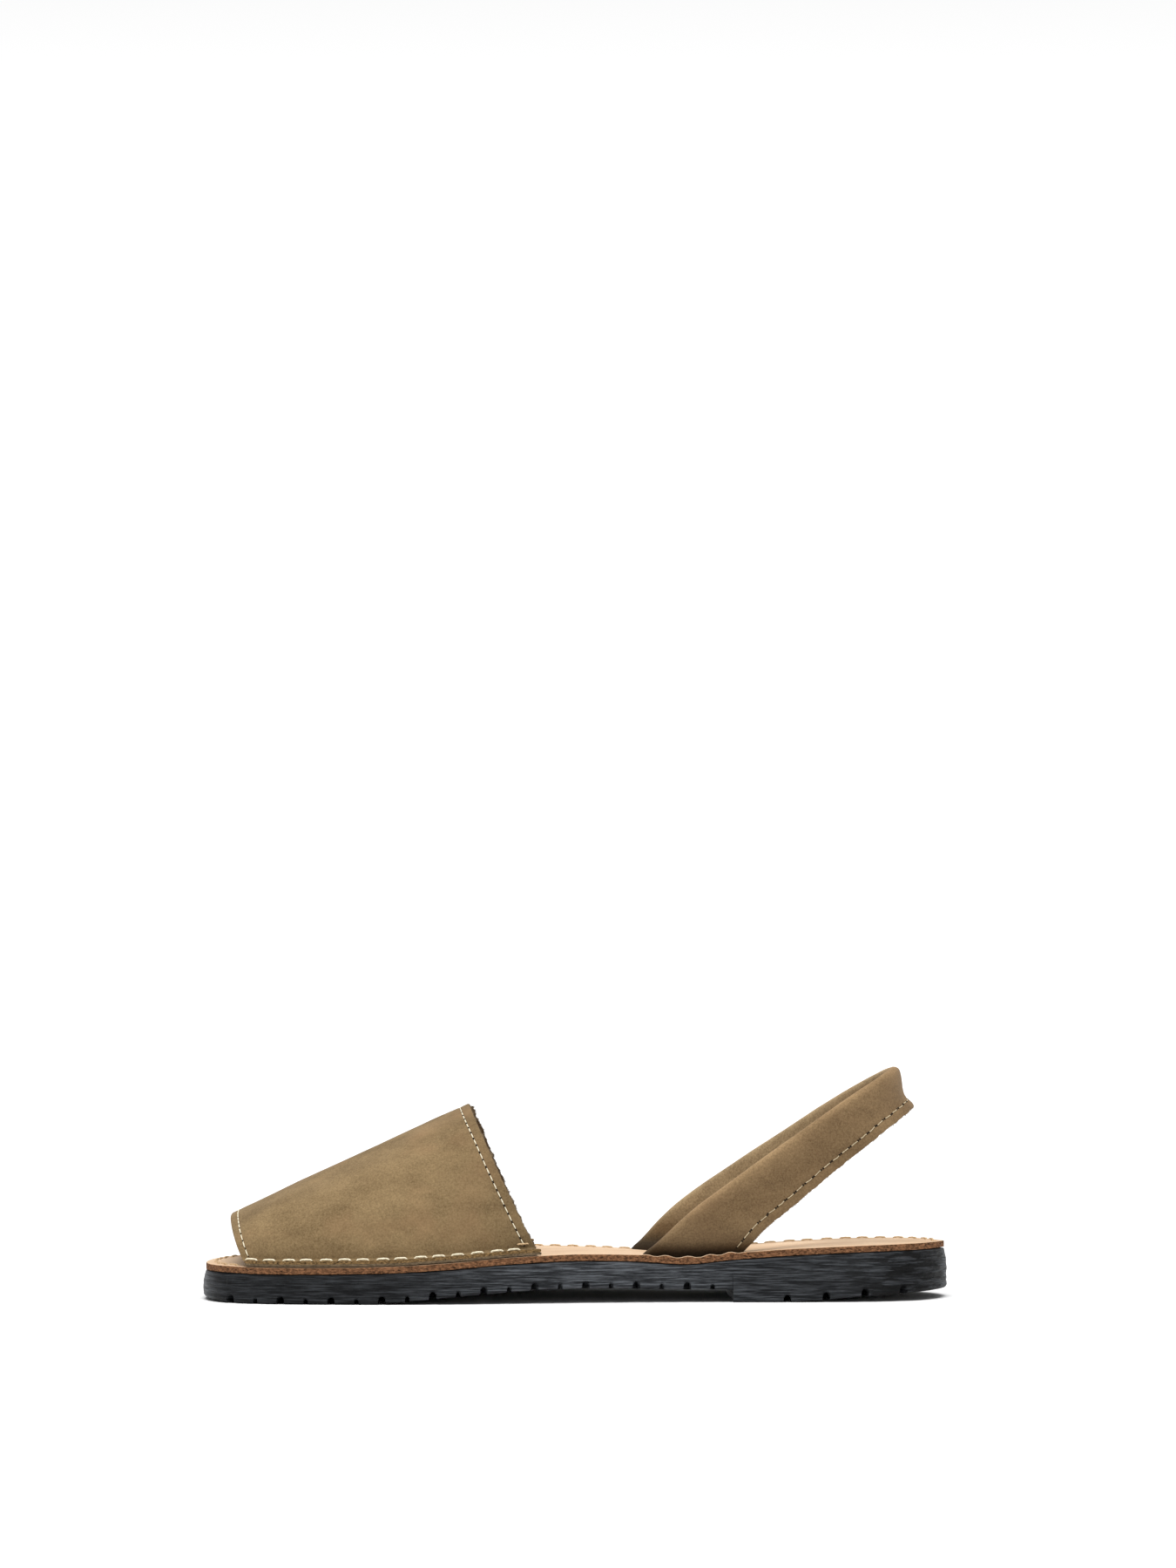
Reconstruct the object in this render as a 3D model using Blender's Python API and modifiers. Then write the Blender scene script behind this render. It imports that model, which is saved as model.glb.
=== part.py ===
"""A right-foot avarca sandal: rubber outsole, leather insole, nubuck vamp and folded slingback strap.

Units are metres and +Z is up. The toe points to -X and the inner side of the foot to -Y. The origin
is on the floor, under the middle of the outsole's length and of its ball width.
"""

import math
from collections import namedtuple

import bmesh
import bpy
from mathutils import Matrix, Vector

MM = 0.001

# Whole sandal
LENGTH = 250 * MM
BALL_WIDTH = 94 * MM
HEEL_HEIGHT = 17 * MM  # top of the rubber above the floor, at the back of the heel
INSTEP_HEIGHT = 65 * MM  # top of the vamp's back edge above the floor
STRAP_TOP = 77.3 * MM  # top of the slingback above the floor

# Outsole
SIDE_DRAFT = 0.9 * MM  # how far the wall leans in at its top edge
EDGE_ROUND = 1.2 * MM  # rounding of the wall's lower edge
BELLY_SHARE = 0.45  # height of the wall's widest line, as a share of the wall
BREAST = 0.710  # where the heel block starts, as a share of LENGTH from the toe
BREAST_RUN = 0.3 * MM  # length over which the heel's front face rises
WAIST_RECESS = 0.4 * MM  # how far the waist's wall is set back from the heel block
WAIST_FADE = 0.20  # share of LENGTH over which that recess runs out
GROOVE_FIRST = 10.1 * MM
GROOVE_PITCH = 16.9 * MM
GROOVE_HALF = 1.3 * MM
GROOVE_DEPTH = 2.4 * MM
FINE_GROOVE_HALF = 0.8 * MM
FINE_GROOVE_DEPTH = 1.7 * MM
HEEL_GROOVE_FIRST = 18.0 * MM  # from the heel's front face
HEEL_GROOVE_PITCH = 13.0 * MM
GROOVE_END = 6.0 * MM  # what stays uncut at the heel's front face and at the back
GROOVE_REACH = 14.0 * MM  # how far a groove runs in from the edge
GROOVE_OVERRUN = 4.0 * MM  # how far outside the edge a groove's cutter starts
GROOVE_SIDES = 12

# Insole
SEAT_GAP = 0.3 * MM  # between two pieces that lie on each other
INSOLE_THICK = 2.2 * MM
INSOLE_ROUND = 0.4 * MM

# Vamp
VAMP_WALL = 2.0 * MM
FLANGE = 5.5 * MM  # width of the foot that is turned out and sewn down
FLANGE_BEND = 1.2 * MM

# Slingback strap
STRAP_WIDTH = 16.5 * MM
STRAP_LAYER = 1.6 * MM
STRAP_SLIT = 0.5 * MM  # between the two layers
STRAP_BULGE = 0.25 * MM  # how much fuller the fold is than the sewn edge, on each side
STRAP_THICK = 2 * (STRAP_LAYER + STRAP_BULGE) + STRAP_SLIT
BULGE_SHARE = 0.25  # share of the strap's face that is as full as its fold
SLIT_SHARE = 0.30  # share of the strap's face, from the fold, over which the slit opens
SLOT_LENGTH = 33.5 * MM
SLOT_START = 0.590  # front end of the inner slot, as a share of LENGTH from the toe
SLOT_INSET = 6.0 * MM  # from the insole's edge to the middle of the slot
SLOT_PLAY = 0.3 * MM  # clearance between the strap and the slot's walls
SLOT_OVERRUN = 4.1 * MM  # how far the slot's cutter stands above the insole
OUTER_SLOT_LEAD = 3.5 * MM  # how much further forward the outer slot is
OUTER_BOW = 2.2 * MM  # how far the outer arm bows forward above its slot
POCKET_DEPTH = 3.0 * MM  # recess in the outsole for each end of the strap

# Fineness of the meshes
OUTLINE_STEPS = 40
VAMP_STEPS = 14
ARCH_STEPS = 18
STRAP_STEPS = 44
FOLD_STEPS = 6
ROUND_STEPS = 2
TURN_STEP = 1e-3  # radians, to each side of a point, for the outline's direction
SOLE_SHARP = 35  # degrees between two faces from which their edge is sharp
UPPER_SHARP = 50

# Plan and top of the outsole. along is a share of LENGTH from the toe; inner and outer are the two
# edges, as shares of BALL_WIDTH from the middle; top is the rubber's height at the inner edge and
# cant how much lower the outer edge is, as shares of HEEL_HEIGHT.
SoleRow = namedtuple("SoleRow", "along inner outer top cant")
SOLE_ROWS = [
    SoleRow(0.000, -0.130, -0.130, 0.570, 0.00),
    SoleRow(0.010, -0.290, 0.050, 0.575, 0.00),
    SoleRow(0.040, -0.405, 0.215, 0.580, 0.00),
    SoleRow(0.090, -0.463, 0.335, 0.565, 0.00),
    SoleRow(0.160, -0.490, 0.425, 0.570, 0.00),
    SoleRow(0.250, -0.500, 0.485, 0.595, 0.01),
    SoleRow(0.330, -0.492, 0.500, 0.660, 0.04),
    SoleRow(0.420, -0.458, 0.477, 0.765, 0.08),
    SoleRow(0.510, -0.416, 0.424, 0.815, 0.13),
    SoleRow(0.580, -0.392, 0.370, 0.795, 0.14),
    SoleRow(0.645, -0.378, 0.330, 0.735, 0.13),
    SoleRow(0.715, -0.371, 0.308, 0.825, 0.09),
    SoleRow(0.800, -0.369, 0.298, 0.910, 0.07),
    SoleRow(0.880, -0.356, 0.282, 0.960, 0.06),
    SoleRow(0.950, -0.294, 0.220, 0.985, 0.06),
    SoleRow(0.985, -0.190, 0.116, 0.990, 0.06),
    SoleRow(1.000, -0.037, -0.037, 0.990, 0.06),
]

# Underside ahead of the heel: its lift above the floor at the inner edge, as a share of HEEL_HEIGHT.
UnderRow = namedtuple("UnderRow", "along lift")
UNDER_ROWS = [
    UnderRow(0.000, 0.060),
    UnderRow(0.030, 0.020),
    UnderRow(0.080, 0.000),
    UnderRow(0.210, 0.000),
    UnderRow(0.330, 0.130),
    UnderRow(0.430, 0.250),
    UnderRow(0.520, 0.290),
    UnderRow(0.620, 0.265),
    UnderRow(0.710, 0.245),
]

# Underside of the heel block. back is a share of the block's own length from its front face.
HeelRow = namedtuple("HeelRow", "back lift")
HEEL_ROWS = [
    HeelRow(0.00, 0.000),
    HeelRow(0.22, 0.000),
    HeelRow(0.60, 0.110),
    HeelRow(1.00, 0.200),
]

# The vamp's sections, front to back. inner, ridge and outer are where the section stands on the inner
# side, at its top and on the outer side, as shares of LENGTH; rise is the top as a share of
# INSTEP_HEIGHT; square is the power of the arch, where 2 is an ellipse; sweep bends the section
# between its feet and its top, where 1 is straight in the side view.
VampRow = namedtuple("VampRow", "place inner ridge outer rise square sweep")
VAMP_ROWS = [
    VampRow(0.00, 0.059, 0.039, 0.080, 0.432, 2.60, 0.60),
    VampRow(0.50, 0.257, 0.199, 0.270, 0.716, 2.30, 0.76),
    VampRow(1.00, 0.455, 0.359, 0.443, 1.000, 2.15, 0.92),
]

# The strap from the inner slot to the middle of the back. along is where the folded edge is, as a
# share of LENGTH; across its distance from the heel's centre line, where 1 is the slot; height its
# share of the way from the insole to STRAP_TOP; turn the angle in degrees, below level, of the line
# from the folded edge to the sewn edge; reach that line's length as a share of STRAP_WIDTH.
StrapRow = namedtuple("StrapRow", "along across height turn reach")
STRAP_ROWS = [
    StrapRow(0.624, 1.01, 0.125, 11.0, 1.62),
    StrapRow(0.658, 1.02, 0.248, 27.0, 1.36),
    StrapRow(0.692, 1.02, 0.353, 40.0, 1.21),
    StrapRow(0.736, 1.00, 0.482, 50.0, 1.15),
    StrapRow(0.784, 0.96, 0.619, 53.5, 1.08),
    StrapRow(0.832, 0.87, 0.757, 54.5, 1.03),
    StrapRow(0.877, 0.69, 0.878, 56.0, 0.98),
    StrapRow(0.911, 0.39, 0.962, 61.0, 0.93),
    StrapRow(0.926, 0.00, 0.997, 67.0, 0.90),
]

Finish = namedtuple("Finish", "colour roughness")
RUBBER = Finish((0.026, 0.028, 0.031), 0.6)
VEG_TAN = Finish((0.62, 0.36, 0.19), 0.55)
NUBUCK = Finish((0.235, 0.175, 0.105), 0.9)

INNER = -1
OUTER = 1


def monotone(places, values, place):
    """A smooth curve through the rows that never overshoots them."""
    last = len(places) - 1
    if place <= places[0]:
        return values[0]
    if place >= places[last]:
        return values[last]
    steps = [places[i + 1] - places[i] for i in range(last)]
    slopes = [(values[i + 1] - values[i]) / steps[i] for i in range(last)]
    i = next(k for k in range(last) if place <= places[k + 1])

    def tangent(k):
        if k == 0:
            return slopes[0]
        if k == last:
            return slopes[last - 1]
        before, after = slopes[k - 1], slopes[k]
        if before * after <= 0:
            return 0.0
        first = 2 * steps[k] + steps[k - 1]
        second = steps[k] + 2 * steps[k - 1]
        return (first + second) / (first / before + second / after)

    step = steps[i]
    t = (place - places[i]) / step
    rise = values[i + 1] - values[i]
    start, end = tangent(i) * step, tangent(i + 1) * step
    return values[i] + t * (start + t * (3 * rise - 2 * start - end + t * (start + end - 2 * rise)))


def read_rows(rows, place):
    """Every column of a table at a place given in its first column's units."""
    places = [row[0] for row in rows]
    columns = list(zip(*rows))
    return type(rows[0])(place, *(monotone(places, column, place) for column in columns[1:]))


def turn_of(along):
    """The angle that stands for a share of the length, so that the two ends of the outline are round."""
    return math.acos(max(-1.0, min(1.0, 1 - 2 * along)))


def along_of(turn):
    return (1 - math.cos(turn)) / 2


ROUND_SOLE_ROWS = [row._replace(along=turn_of(row.along)) for row in SOLE_ROWS]


def sole_at(along):
    """The outsole's edges and top at a share of its length, in metres."""
    row = read_rows(ROUND_SOLE_ROWS, turn_of(along))
    return SoleRow(
        along,
        row.inner * BALL_WIDTH,
        row.outer * BALL_WIDTH,
        row.top * HEEL_HEIGHT,
        row.cant * HEEL_HEIGHT,
    )


def x_of(along):
    return (along - 0.5) * LENGTH


def edge(turn, side):
    along = along_of(turn)
    row = sole_at(along)
    return Vector((x_of(along), row.inner if side == INNER else row.outer))


def outline(along, side, inset=0.0):
    """A point of the outsole's plan, moved in from the edge by inset."""
    turn = turn_of(along)
    ahead, behind = max(0.0, turn - TURN_STEP), min(math.pi, turn + TURN_STEP)
    tangent = (edge(behind, side) - edge(ahead, side)).normalized()
    inward = Vector((tangent.y, -tangent.x)) * side
    return edge(turn, side) + inward * inset


def across_share(along, y):
    """0 at the inner edge and 1 at the outer edge."""
    row = sole_at(along)
    width = row.outer - row.inner
    if width < MM:
        return 0.5
    return max(0.0, min(1.0, (y - row.inner) / width))


def sole_top(along, y):
    row = sole_at(along)
    return row.top - row.cant * across_share(along, y)


def insole_top(along, y):
    return sole_top(along, y) + SEAT_GAP + INSOLE_THICK


def sole_under(along, y):
    """Height of the outsole's underside. The outer side of the waist is lower than the inner side."""
    if along <= BREAST:
        lift = read_rows(UNDER_ROWS, along).lift
    else:
        lift = read_rows(HEEL_ROWS, (along - BREAST) / (1 - BREAST)).lift
    drop = sole_at(along).cant * across_share(along, y)
    return max(0.0, lift * HEEL_HEIGHT - drop)


def waist_recess(along):
    """How far the wall is set back just ahead of the heel block."""
    if along > BREAST:
        return 0.0
    return WAIST_RECESS * max(0.0, 1 - (BREAST - along) / WAIST_FADE)


def stations():
    """Shares of the length where the outline is sampled, close together at the ends and at the heel."""
    half_run = BREAST_RUN / LENGTH / 2
    evenly = [along_of(math.pi * i / OUTLINE_STEPS) for i in range(OUTLINE_STEPS + 1)]
    return sorted(evenly + [BREAST - half_run, BREAST + half_run])


def new_object(name, mesh, finish, collection):
    material = bpy.data.materials.new(name)
    material.use_nodes = True
    shader = material.node_tree.nodes["Principled BSDF"]
    shader.inputs["Base Color"].default_value = (*finish.colour, 1.0)
    shader.inputs["Roughness"].default_value = finish.roughness
    shader.inputs["Metallic"].default_value = 0.0
    mesh.materials.append(material)
    thing = bpy.data.objects.new(name, mesh)
    collection.objects.link(thing)
    return thing


def new_cutter(name, mesh, collection):
    cutter = bpy.data.objects.new(name, mesh)
    collection.objects.link(cutter)
    cutter.hide_render = True
    cutter.display_type = "WIRE"
    return cutter


def cut(thing, cutter):
    modifier = thing.modifiers.new("cut_" + cutter.name, "BOOLEAN")
    modifier.operation = "DIFFERENCE"
    modifier.object = cutter


def finish_mesh(name, bm):
    bmesh.ops.recalc_face_normals(bm, faces=bm.faces)
    mesh = bpy.data.meshes.new(name)
    bm.to_mesh(mesh)
    bm.free()
    return mesh


def shade_round(mesh, degrees):
    mesh.shade_smooth()
    mesh.set_sharp_from_angle(angle=math.radians(degrees))


def slab(name, levels):
    """A slab with the sole's plan. Each level, top to bottom, gives for a station the inset from the
    edge and a function for the height."""
    bm = bmesh.new()
    alongs = stations()
    count = len(alongs)
    sides = [(along, INNER) for along in alongs] + [(along, OUTER) for along in alongs[-2:0:-1]]
    rings = []
    for level in levels:
        ring = []
        for along, side in sides:
            inset, height = level(along)
            point = outline(along, side, inset)
            ring.append(bm.verts.new((point.x, point.y, height(along, point.y))))
        rings.append(ring)

    size = len(sides)
    for upper, lower in zip(rings, rings[1:]):
        for k in range(size):
            following = (k + 1) % size
            bm.faces.new((upper[k], lower[k], lower[following], upper[following]))

    for ring in (rings[0], rings[-1]):
        for i in range(count - 1):
            corners = [ring[i], ring[i + 1], ring[(size - i - 1) % size], ring[(size - i) % size]]
            bm.faces.new(list(dict.fromkeys(corners)))
    return finish_mesh(name, bm)


def groove(bm, along, side, half_width, depth):
    """One cutter from an edge into the underside: a round bar, flattened to the groove's width and
    depth."""
    rim = sole_at(along).inner if side == INNER else sole_at(along).outer
    places = (rim, rim - side * GROOVE_REACH)
    start, end = (Vector((x_of(along), y, sole_under(along, y))) for y in places)
    start += (start - end).normalized() * GROOVE_OVERRUN
    line = end - start
    tilt = math.atan2(line.z, line.y)
    place = (
        Matrix.Translation((start + end) / 2)
        @ Matrix.Rotation(tilt, 4, "X")
        @ Matrix.Diagonal((half_width, 1, depth, 1))
        @ Matrix.Rotation(math.pi / 2, 4, "X")
    )
    bmesh.ops.create_cone(
        bm,
        cap_ends=True,
        segments=GROOVE_SIDES,
        radius1=1,
        radius2=1,
        depth=line.length,
        matrix=place,
    )


def places_between(first, last, pitch):
    return [first + i * pitch for i in range(int((last - first) / pitch) + 1)]


def groove_cutters(collection):
    """The tread's grooves at both edges: a coarse and a fine set ahead of the heel, and a coarse set on
    the heel."""
    bm = bmesh.new()
    breast = BREAST * LENGTH
    coarse = places_between(GROOVE_FIRST, breast - GROOVE_END, GROOVE_PITCH)
    coarse += places_between(breast + HEEL_GROOVE_FIRST, LENGTH - GROOVE_END, HEEL_GROOVE_PITCH)
    fine = places_between(GROOVE_FIRST + GROOVE_PITCH / 2, breast - GROOVE_END, GROOVE_PITCH)
    for side in (INNER, OUTER):
        for s in coarse:
            groove(bm, s / LENGTH, side, GROOVE_HALF, GROOVE_DEPTH)
        for s in fine:
            groove(bm, s / LENGTH, side, FINE_GROOVE_HALF, FINE_GROOVE_DEPTH)
    mesh = bpy.data.meshes.new("tread_grooves")
    bm.to_mesh(mesh)
    bm.free()
    return new_cutter("tread_grooves", mesh, collection)


def slot_line(side):
    """Plan points of a strap slot's two ends, front then back, and their shares of the length."""
    start = SLOT_START - (OUTER_SLOT_LEAD / LENGTH if side == OUTER else 0.0)
    ends = []
    for along in (start, start + SLOT_LENGTH / LENGTH):
        y = outline(along, side, SIDE_DRAFT + SLOT_INSET).y
        ends.append((along, Vector((x_of(along), y))))
    return ends


def slot_cutter(name, side, collection):
    """A box along the slot. It cuts through the insole and makes the pocket in the rubber below."""
    (front, start), (back, end) = slot_line(side)
    line = (end - start).normalized()
    normal = Vector((-line.y, line.x))
    half = STRAP_THICK / 2 + SLOT_PLAY
    bm = bmesh.new()
    bmesh.ops.create_cube(bm, size=2)
    for vert in bm.verts:
        along, plan = (front, start) if vert.co.x < 0 else (back, end)
        plan = plan + line * SLOT_PLAY * vert.co.x + normal * half * vert.co.y
        if vert.co.z > 0:
            height = insole_top(along, plan.y) + SLOT_OVERRUN
        else:
            height = sole_top(along, plan.y) - POCKET_DEPTH
        vert.co = (plan.x, plan.y, height)
    return new_cutter(name, finish_mesh(name, bm), collection)


def make_outsole(collection, grooves, slots):
    def top(along):
        return SIDE_DRAFT, sole_top

    def belly(along):
        def height(station, y):
            return sole_under(station, y) * (1 - BELLY_SHARE) + sole_top(station, y) * BELLY_SHARE

        return waist_recess(along), height

    def wall_foot(angle):
        def level(along):
            return (
                waist_recess(along) + EDGE_ROUND * (1 - math.cos(angle)),
                lambda station, y: sole_under(station, y) + EDGE_ROUND * (1 - math.sin(angle)),
            )

        return level

    feet = [wall_foot(math.pi / 2 * k / ROUND_STEPS) for k in range(ROUND_STEPS + 1)]
    mesh = slab("outsole", [top, belly] + feet)
    shade_round(mesh, SOLE_SHARP)
    outsole = new_object("outsole", mesh, RUBBER, collection)
    for cutter in [grooves] + slots:
        cut(outsole, cutter)


def make_insole(collection, slots):
    def level(inset, lift):
        return lambda along: (
            SIDE_DRAFT + inset,
            lambda station, y: sole_top(station, y) + SEAT_GAP + lift,
        )

    levels = [
        level(INSOLE_ROUND, INSOLE_THICK),
        level(0.0, INSOLE_THICK - INSOLE_ROUND),
        level(0.0, 0.0),
    ]
    mesh = slab("insole", levels)
    shade_round(mesh, SOLE_SHARP)
    insole = new_object("insole", mesh, VEG_TAN, collection)
    for cutter in slots:
        cut(insole, cutter)


def on_insole(along, side, inset):
    """A point that rests on the insole, inset from the insole's edge."""
    point = outline(along, side, SIDE_DRAFT + inset)
    return Vector((point.x, point.y, insole_top(along, point.y) + SEAT_GAP))


def vamp_section(place):
    """The vamp's lower and inner face at a share of the way from its front edge to its back edge: the
    inner side's flange, the arch over the foot and the outer side's flange."""
    row = read_rows(VAMP_ROWS, place)
    feet = [(row.inner, INNER), (row.outer, OUTER)]
    start, end = (on_insole(along, side, FLANGE) for along, side in feet)
    crown = Vector((x_of(row.ridge), 0, row.rise * INSTEP_HEIGHT - VAMP_WALL))
    rise = crown.z - (start.z + end.z) / 2
    first = math.asin(min(1.0, FLANGE_BEND / rise) ** (row.square / 2))
    arch = []
    for j in range(ARCH_STEPS + 1):
        angle = first + (math.pi - 2 * first) * j / ARCH_STEPS
        swing = -math.cos(angle)
        across = math.copysign(abs(swing) ** (2 / row.square), swing)
        lift = math.sin(angle) ** (2 / row.square)
        point = start.lerp(end, (across + 1) / 2)
        foot = start if across < 0 else end
        point.x = foot.x + (crown.x - foot.x) * lift**row.sweep
        point.z += rise * lift
        arch.append(point)
    flanges = []
    for along, side in feet:
        flanges.append([on_insole(along, side, inset) for inset in (0.0, FLANGE - FLANGE_BEND)])
    return flanges[0] + arch + flanges[1][::-1]


def make_vamp(collection):
    bm = bmesh.new()
    grid = []
    for i in range(VAMP_STEPS + 1):
        grid.append([bm.verts.new(point) for point in vamp_section(i / VAMP_STEPS)])
    for row, following in zip(grid, grid[1:]):
        for j in range(len(row) - 1):
            bm.faces.new((row[j], following[j], following[j + 1], row[j + 1]))
    mesh = bpy.data.meshes.new("vamp")
    bm.to_mesh(mesh)
    bm.free()
    shade_round(mesh, UPPER_SHARP)
    vamp = new_object("vamp", mesh, NUBUCK, collection)
    wall = vamp.modifiers.new("wall", "SOLIDIFY")
    wall.thickness = VAMP_WALL
    wall.offset = 1
    wall.use_even_offset = True


def outer_bow(height):
    """A curve that is 0 at the insole and at the strap's top and reaches 1 a quarter of the way up."""
    return height * (1 - height) ** 3 * 256 / 27


def strap_edges(row, side):
    """The folded edge and the sewn edge of the strap for one row of its table."""
    (front, start), (back, end) = slot_line(side)
    axis = (sole_at(1.0).inner + sole_at(1.0).outer) / 2
    base = insole_top(front, start.y)
    x = x_of(row.along)
    if side == OUTER:
        x -= OUTER_SLOT_LEAD * (1 - row.height) + OUTER_BOW * outer_bow(row.height)
    fold_y = axis + (start.y - axis) * row.across
    sewn_y = axis + (end.y - axis) * row.across
    fold = Vector((x, fold_y, base + (STRAP_TOP - base) * row.height))
    turn = math.radians(row.turn)
    sewn = fold + Vector((math.cos(turn), 0, -math.sin(turn))) * STRAP_WIDTH * row.reach
    return fold, Vector((sewn.x, sewn_y, sewn.z))


def strap_foot(side, lift):
    """The strap's two edges where it stands in its slot, lift above the rubber's top."""
    return tuple(
        Vector((plan.x, plan.y, sole_top(along, plan.y) + lift)) for along, plan in slot_line(side)
    )


def smooth_through(points, count):
    """Points at even steps along a Catmull-Rom curve through the given pairs of points."""
    places = [0.0]
    for (fold_a, sewn_a), (fold_b, sewn_b) in zip(points, points[1:]):
        places.append(places[-1] + ((fold_b - fold_a).length + (sewn_b - sewn_a).length) / 2)

    def slope(values, i):
        low, high = max(0, i - 1), min(len(values) - 1, i + 1)
        return (values[high] - values[low]) / (places[high] - places[low])

    def at(values, place):
        i = min(max(k for k in range(len(places)) if places[k] <= place), len(places) - 2)
        step = places[i + 1] - places[i]
        t = (place - places[i]) / step
        return (
            values[i] * (1 + 2 * t) * (1 - t) ** 2
            + slope(values, i) * step * t * (1 - t) ** 2
            + values[i + 1] * t * t * (3 - 2 * t)
            - slope(values, i + 1) * step * t * t * (1 - t)
        )

    folds, sewns = zip(*points)
    steps = [places[-1] * k / count for k in range(count + 1)]
    return [(at(folds, place), at(sewns, place)) for place in steps]


def strap_path():
    """The strap's folded and sewn edges from the inner slot round the heel to the outer slot."""
    lift = SEAT_GAP + INSOLE_THICK + SEAT_GAP
    inner = [strap_foot(INNER, lift)] + [strap_edges(row, INNER) for row in STRAP_ROWS]
    outer = [strap_edges(row, OUTER) for row in STRAP_ROWS[-2::-1]] + [strap_foot(OUTER, lift)]
    tail = SEAT_GAP - POCKET_DEPTH
    loop = smooth_through(inner + outer, STRAP_STEPS)
    return [strap_foot(INNER, tail)] + loop + [strap_foot(OUTER, tail)]


def hairpin(width):
    """The strap's section: one strip folded double. Each point is the distance from the folded edge
    and the distance out from the middle."""
    fold = STRAP_THICK / 2
    slit = STRAP_SLIT / 2
    body = width - fold
    outside = [(width, STRAP_LAYER + slit), (fold + body * BULGE_SHARE, fold), (fold, fold)]
    bend = []
    for k in range(1, FOLD_STEPS):
        angle = math.pi * k / FOLD_STEPS
        bend.append((fold - fold * math.sin(angle), fold * math.cos(angle)))
    inside = [(along, -out) for along, out in reversed(outside)]
    open_at = fold + body * SLIT_SHARE
    gap = [(width, -slit), (open_at, -slit), (fold, 0), (open_at, slit), (width, slit)]
    return outside + bend + inside + gap


def make_strap(collection):
    path = strap_path()
    middles = [(fold + sewn) / 2 for fold, sewn in path]
    bm = bmesh.new()
    rings = []
    for i, (fold, sewn) in enumerate(path):
        width = (sewn - fold).length
        across = (sewn - fold) / width
        ahead, behind = middles[max(0, i - 1)], middles[min(len(path) - 1, i + 1)]
        out = across.cross(behind - ahead).normalized()
        ring = [bm.verts.new(fold + across * a + out * b) for a, b in hairpin(width)]
        rings.append(ring)
    size = len(rings[0])
    for ring, following in zip(rings, rings[1:]):
        for k in range(size):
            after = (k + 1) % size
            bm.faces.new((ring[k], ring[after], following[after], following[k]))
    bm.faces.new(rings[0])
    bm.faces.new(rings[-1][::-1])
    mesh = finish_mesh("strap", bm)
    shade_round(mesh, UPPER_SHARP)
    new_object("slingback_strap", mesh, NUBUCK, collection)


def make_sandal():
    for thing in list(bpy.data.objects):
        bpy.data.objects.remove(thing)
    sandal = bpy.data.collections.new("avarca_sandal")
    cutters = bpy.data.collections.new("cutters")
    for collection in (sandal, cutters):
        bpy.context.scene.collection.children.link(collection)
    slots = [slot_cutter("inner_slot", INNER, cutters), slot_cutter("outer_slot", OUTER, cutters)]
    make_outsole(sandal, groove_cutters(cutters), slots)
    make_insole(sandal, slots)
    make_vamp(sandal)
    make_strap(sandal)


make_sandal()
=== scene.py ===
"""The looks of a right-foot avarca sandal: nubuck vamp and slingback, leather insole, rubber outsole.

Units are metres and +Z is up. The toe points to -X and the inner side of the foot to -Y. The shapes
repeat those of the CAD part in finer steps, with seams, raw edges and wear added.
"""

import math
import random
from collections import namedtuple
from functools import lru_cache

import bmesh
import bpy
import numpy as np
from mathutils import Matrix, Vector, kdtree, noise


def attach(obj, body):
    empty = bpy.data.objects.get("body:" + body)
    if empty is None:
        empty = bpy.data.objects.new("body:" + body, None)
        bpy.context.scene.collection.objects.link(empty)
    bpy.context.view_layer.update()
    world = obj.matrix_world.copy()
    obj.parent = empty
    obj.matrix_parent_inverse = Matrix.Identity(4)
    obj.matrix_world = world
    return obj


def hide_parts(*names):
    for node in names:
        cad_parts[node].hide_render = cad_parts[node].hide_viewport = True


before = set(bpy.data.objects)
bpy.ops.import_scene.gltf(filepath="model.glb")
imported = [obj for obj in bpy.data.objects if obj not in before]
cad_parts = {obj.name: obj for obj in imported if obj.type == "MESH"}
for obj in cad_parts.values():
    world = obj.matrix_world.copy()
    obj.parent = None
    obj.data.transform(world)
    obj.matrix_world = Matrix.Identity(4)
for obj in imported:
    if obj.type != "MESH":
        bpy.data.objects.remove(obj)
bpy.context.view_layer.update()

MM = 0.001

# Camera. The photo of 1350 x 1800 pixels shows the sandal level, from its inner side.
PHOTO_WIDTH = 1350
PHOTO_HEIGHT = 1800
PHOTO_TOE_X = 236
PHOTO_HEEL_X = 1086
PHOTO_FLOOR_Y = 1486.8
CAMERA_DISTANCE = 2.47
SENSOR = 36

# Whole sandal
LENGTH = 250 * MM
BALL_WIDTH = 94 * MM
HEEL_HEIGHT = 17 * MM
INSTEP_HEIGHT = 65 * MM
STRAP_TOP = 77.3 * MM

# Outsole
SIDE_DRAFT = 0.9 * MM
EDGE_ROUND = 1.2 * MM
BELLY_SHARE = 0.45
BREAST = 0.710
BREAST_RUN = 0.3 * MM
WAIST_RECESS = 0.4 * MM
WAIST_FADE = 0.20
GROOVE_FIRST = 10.1 * MM
GROOVE_PITCH = 16.9 * MM
GROOVE_HALF = 1.3 * MM
GROOVE_DEPTH = 2.4 * MM
FINE_GROOVE_HALF = 0.8 * MM
FINE_GROOVE_DEPTH = 1.7 * MM
HEEL_GROOVE_FIRST = 18.0 * MM
HEEL_GROOVE_PITCH = 13.0 * MM
GROOVE_END = 6.0 * MM
GROOVE_REACH = 14.0 * MM
TREAD_BEAD = 0.55 * MM  # a low bead behind the grooves' blind ends at the waist
TOP_ROUND = 0.25 * MM
OUTSOLE_STEPS = 210
WALL_STEPS = 34

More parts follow.
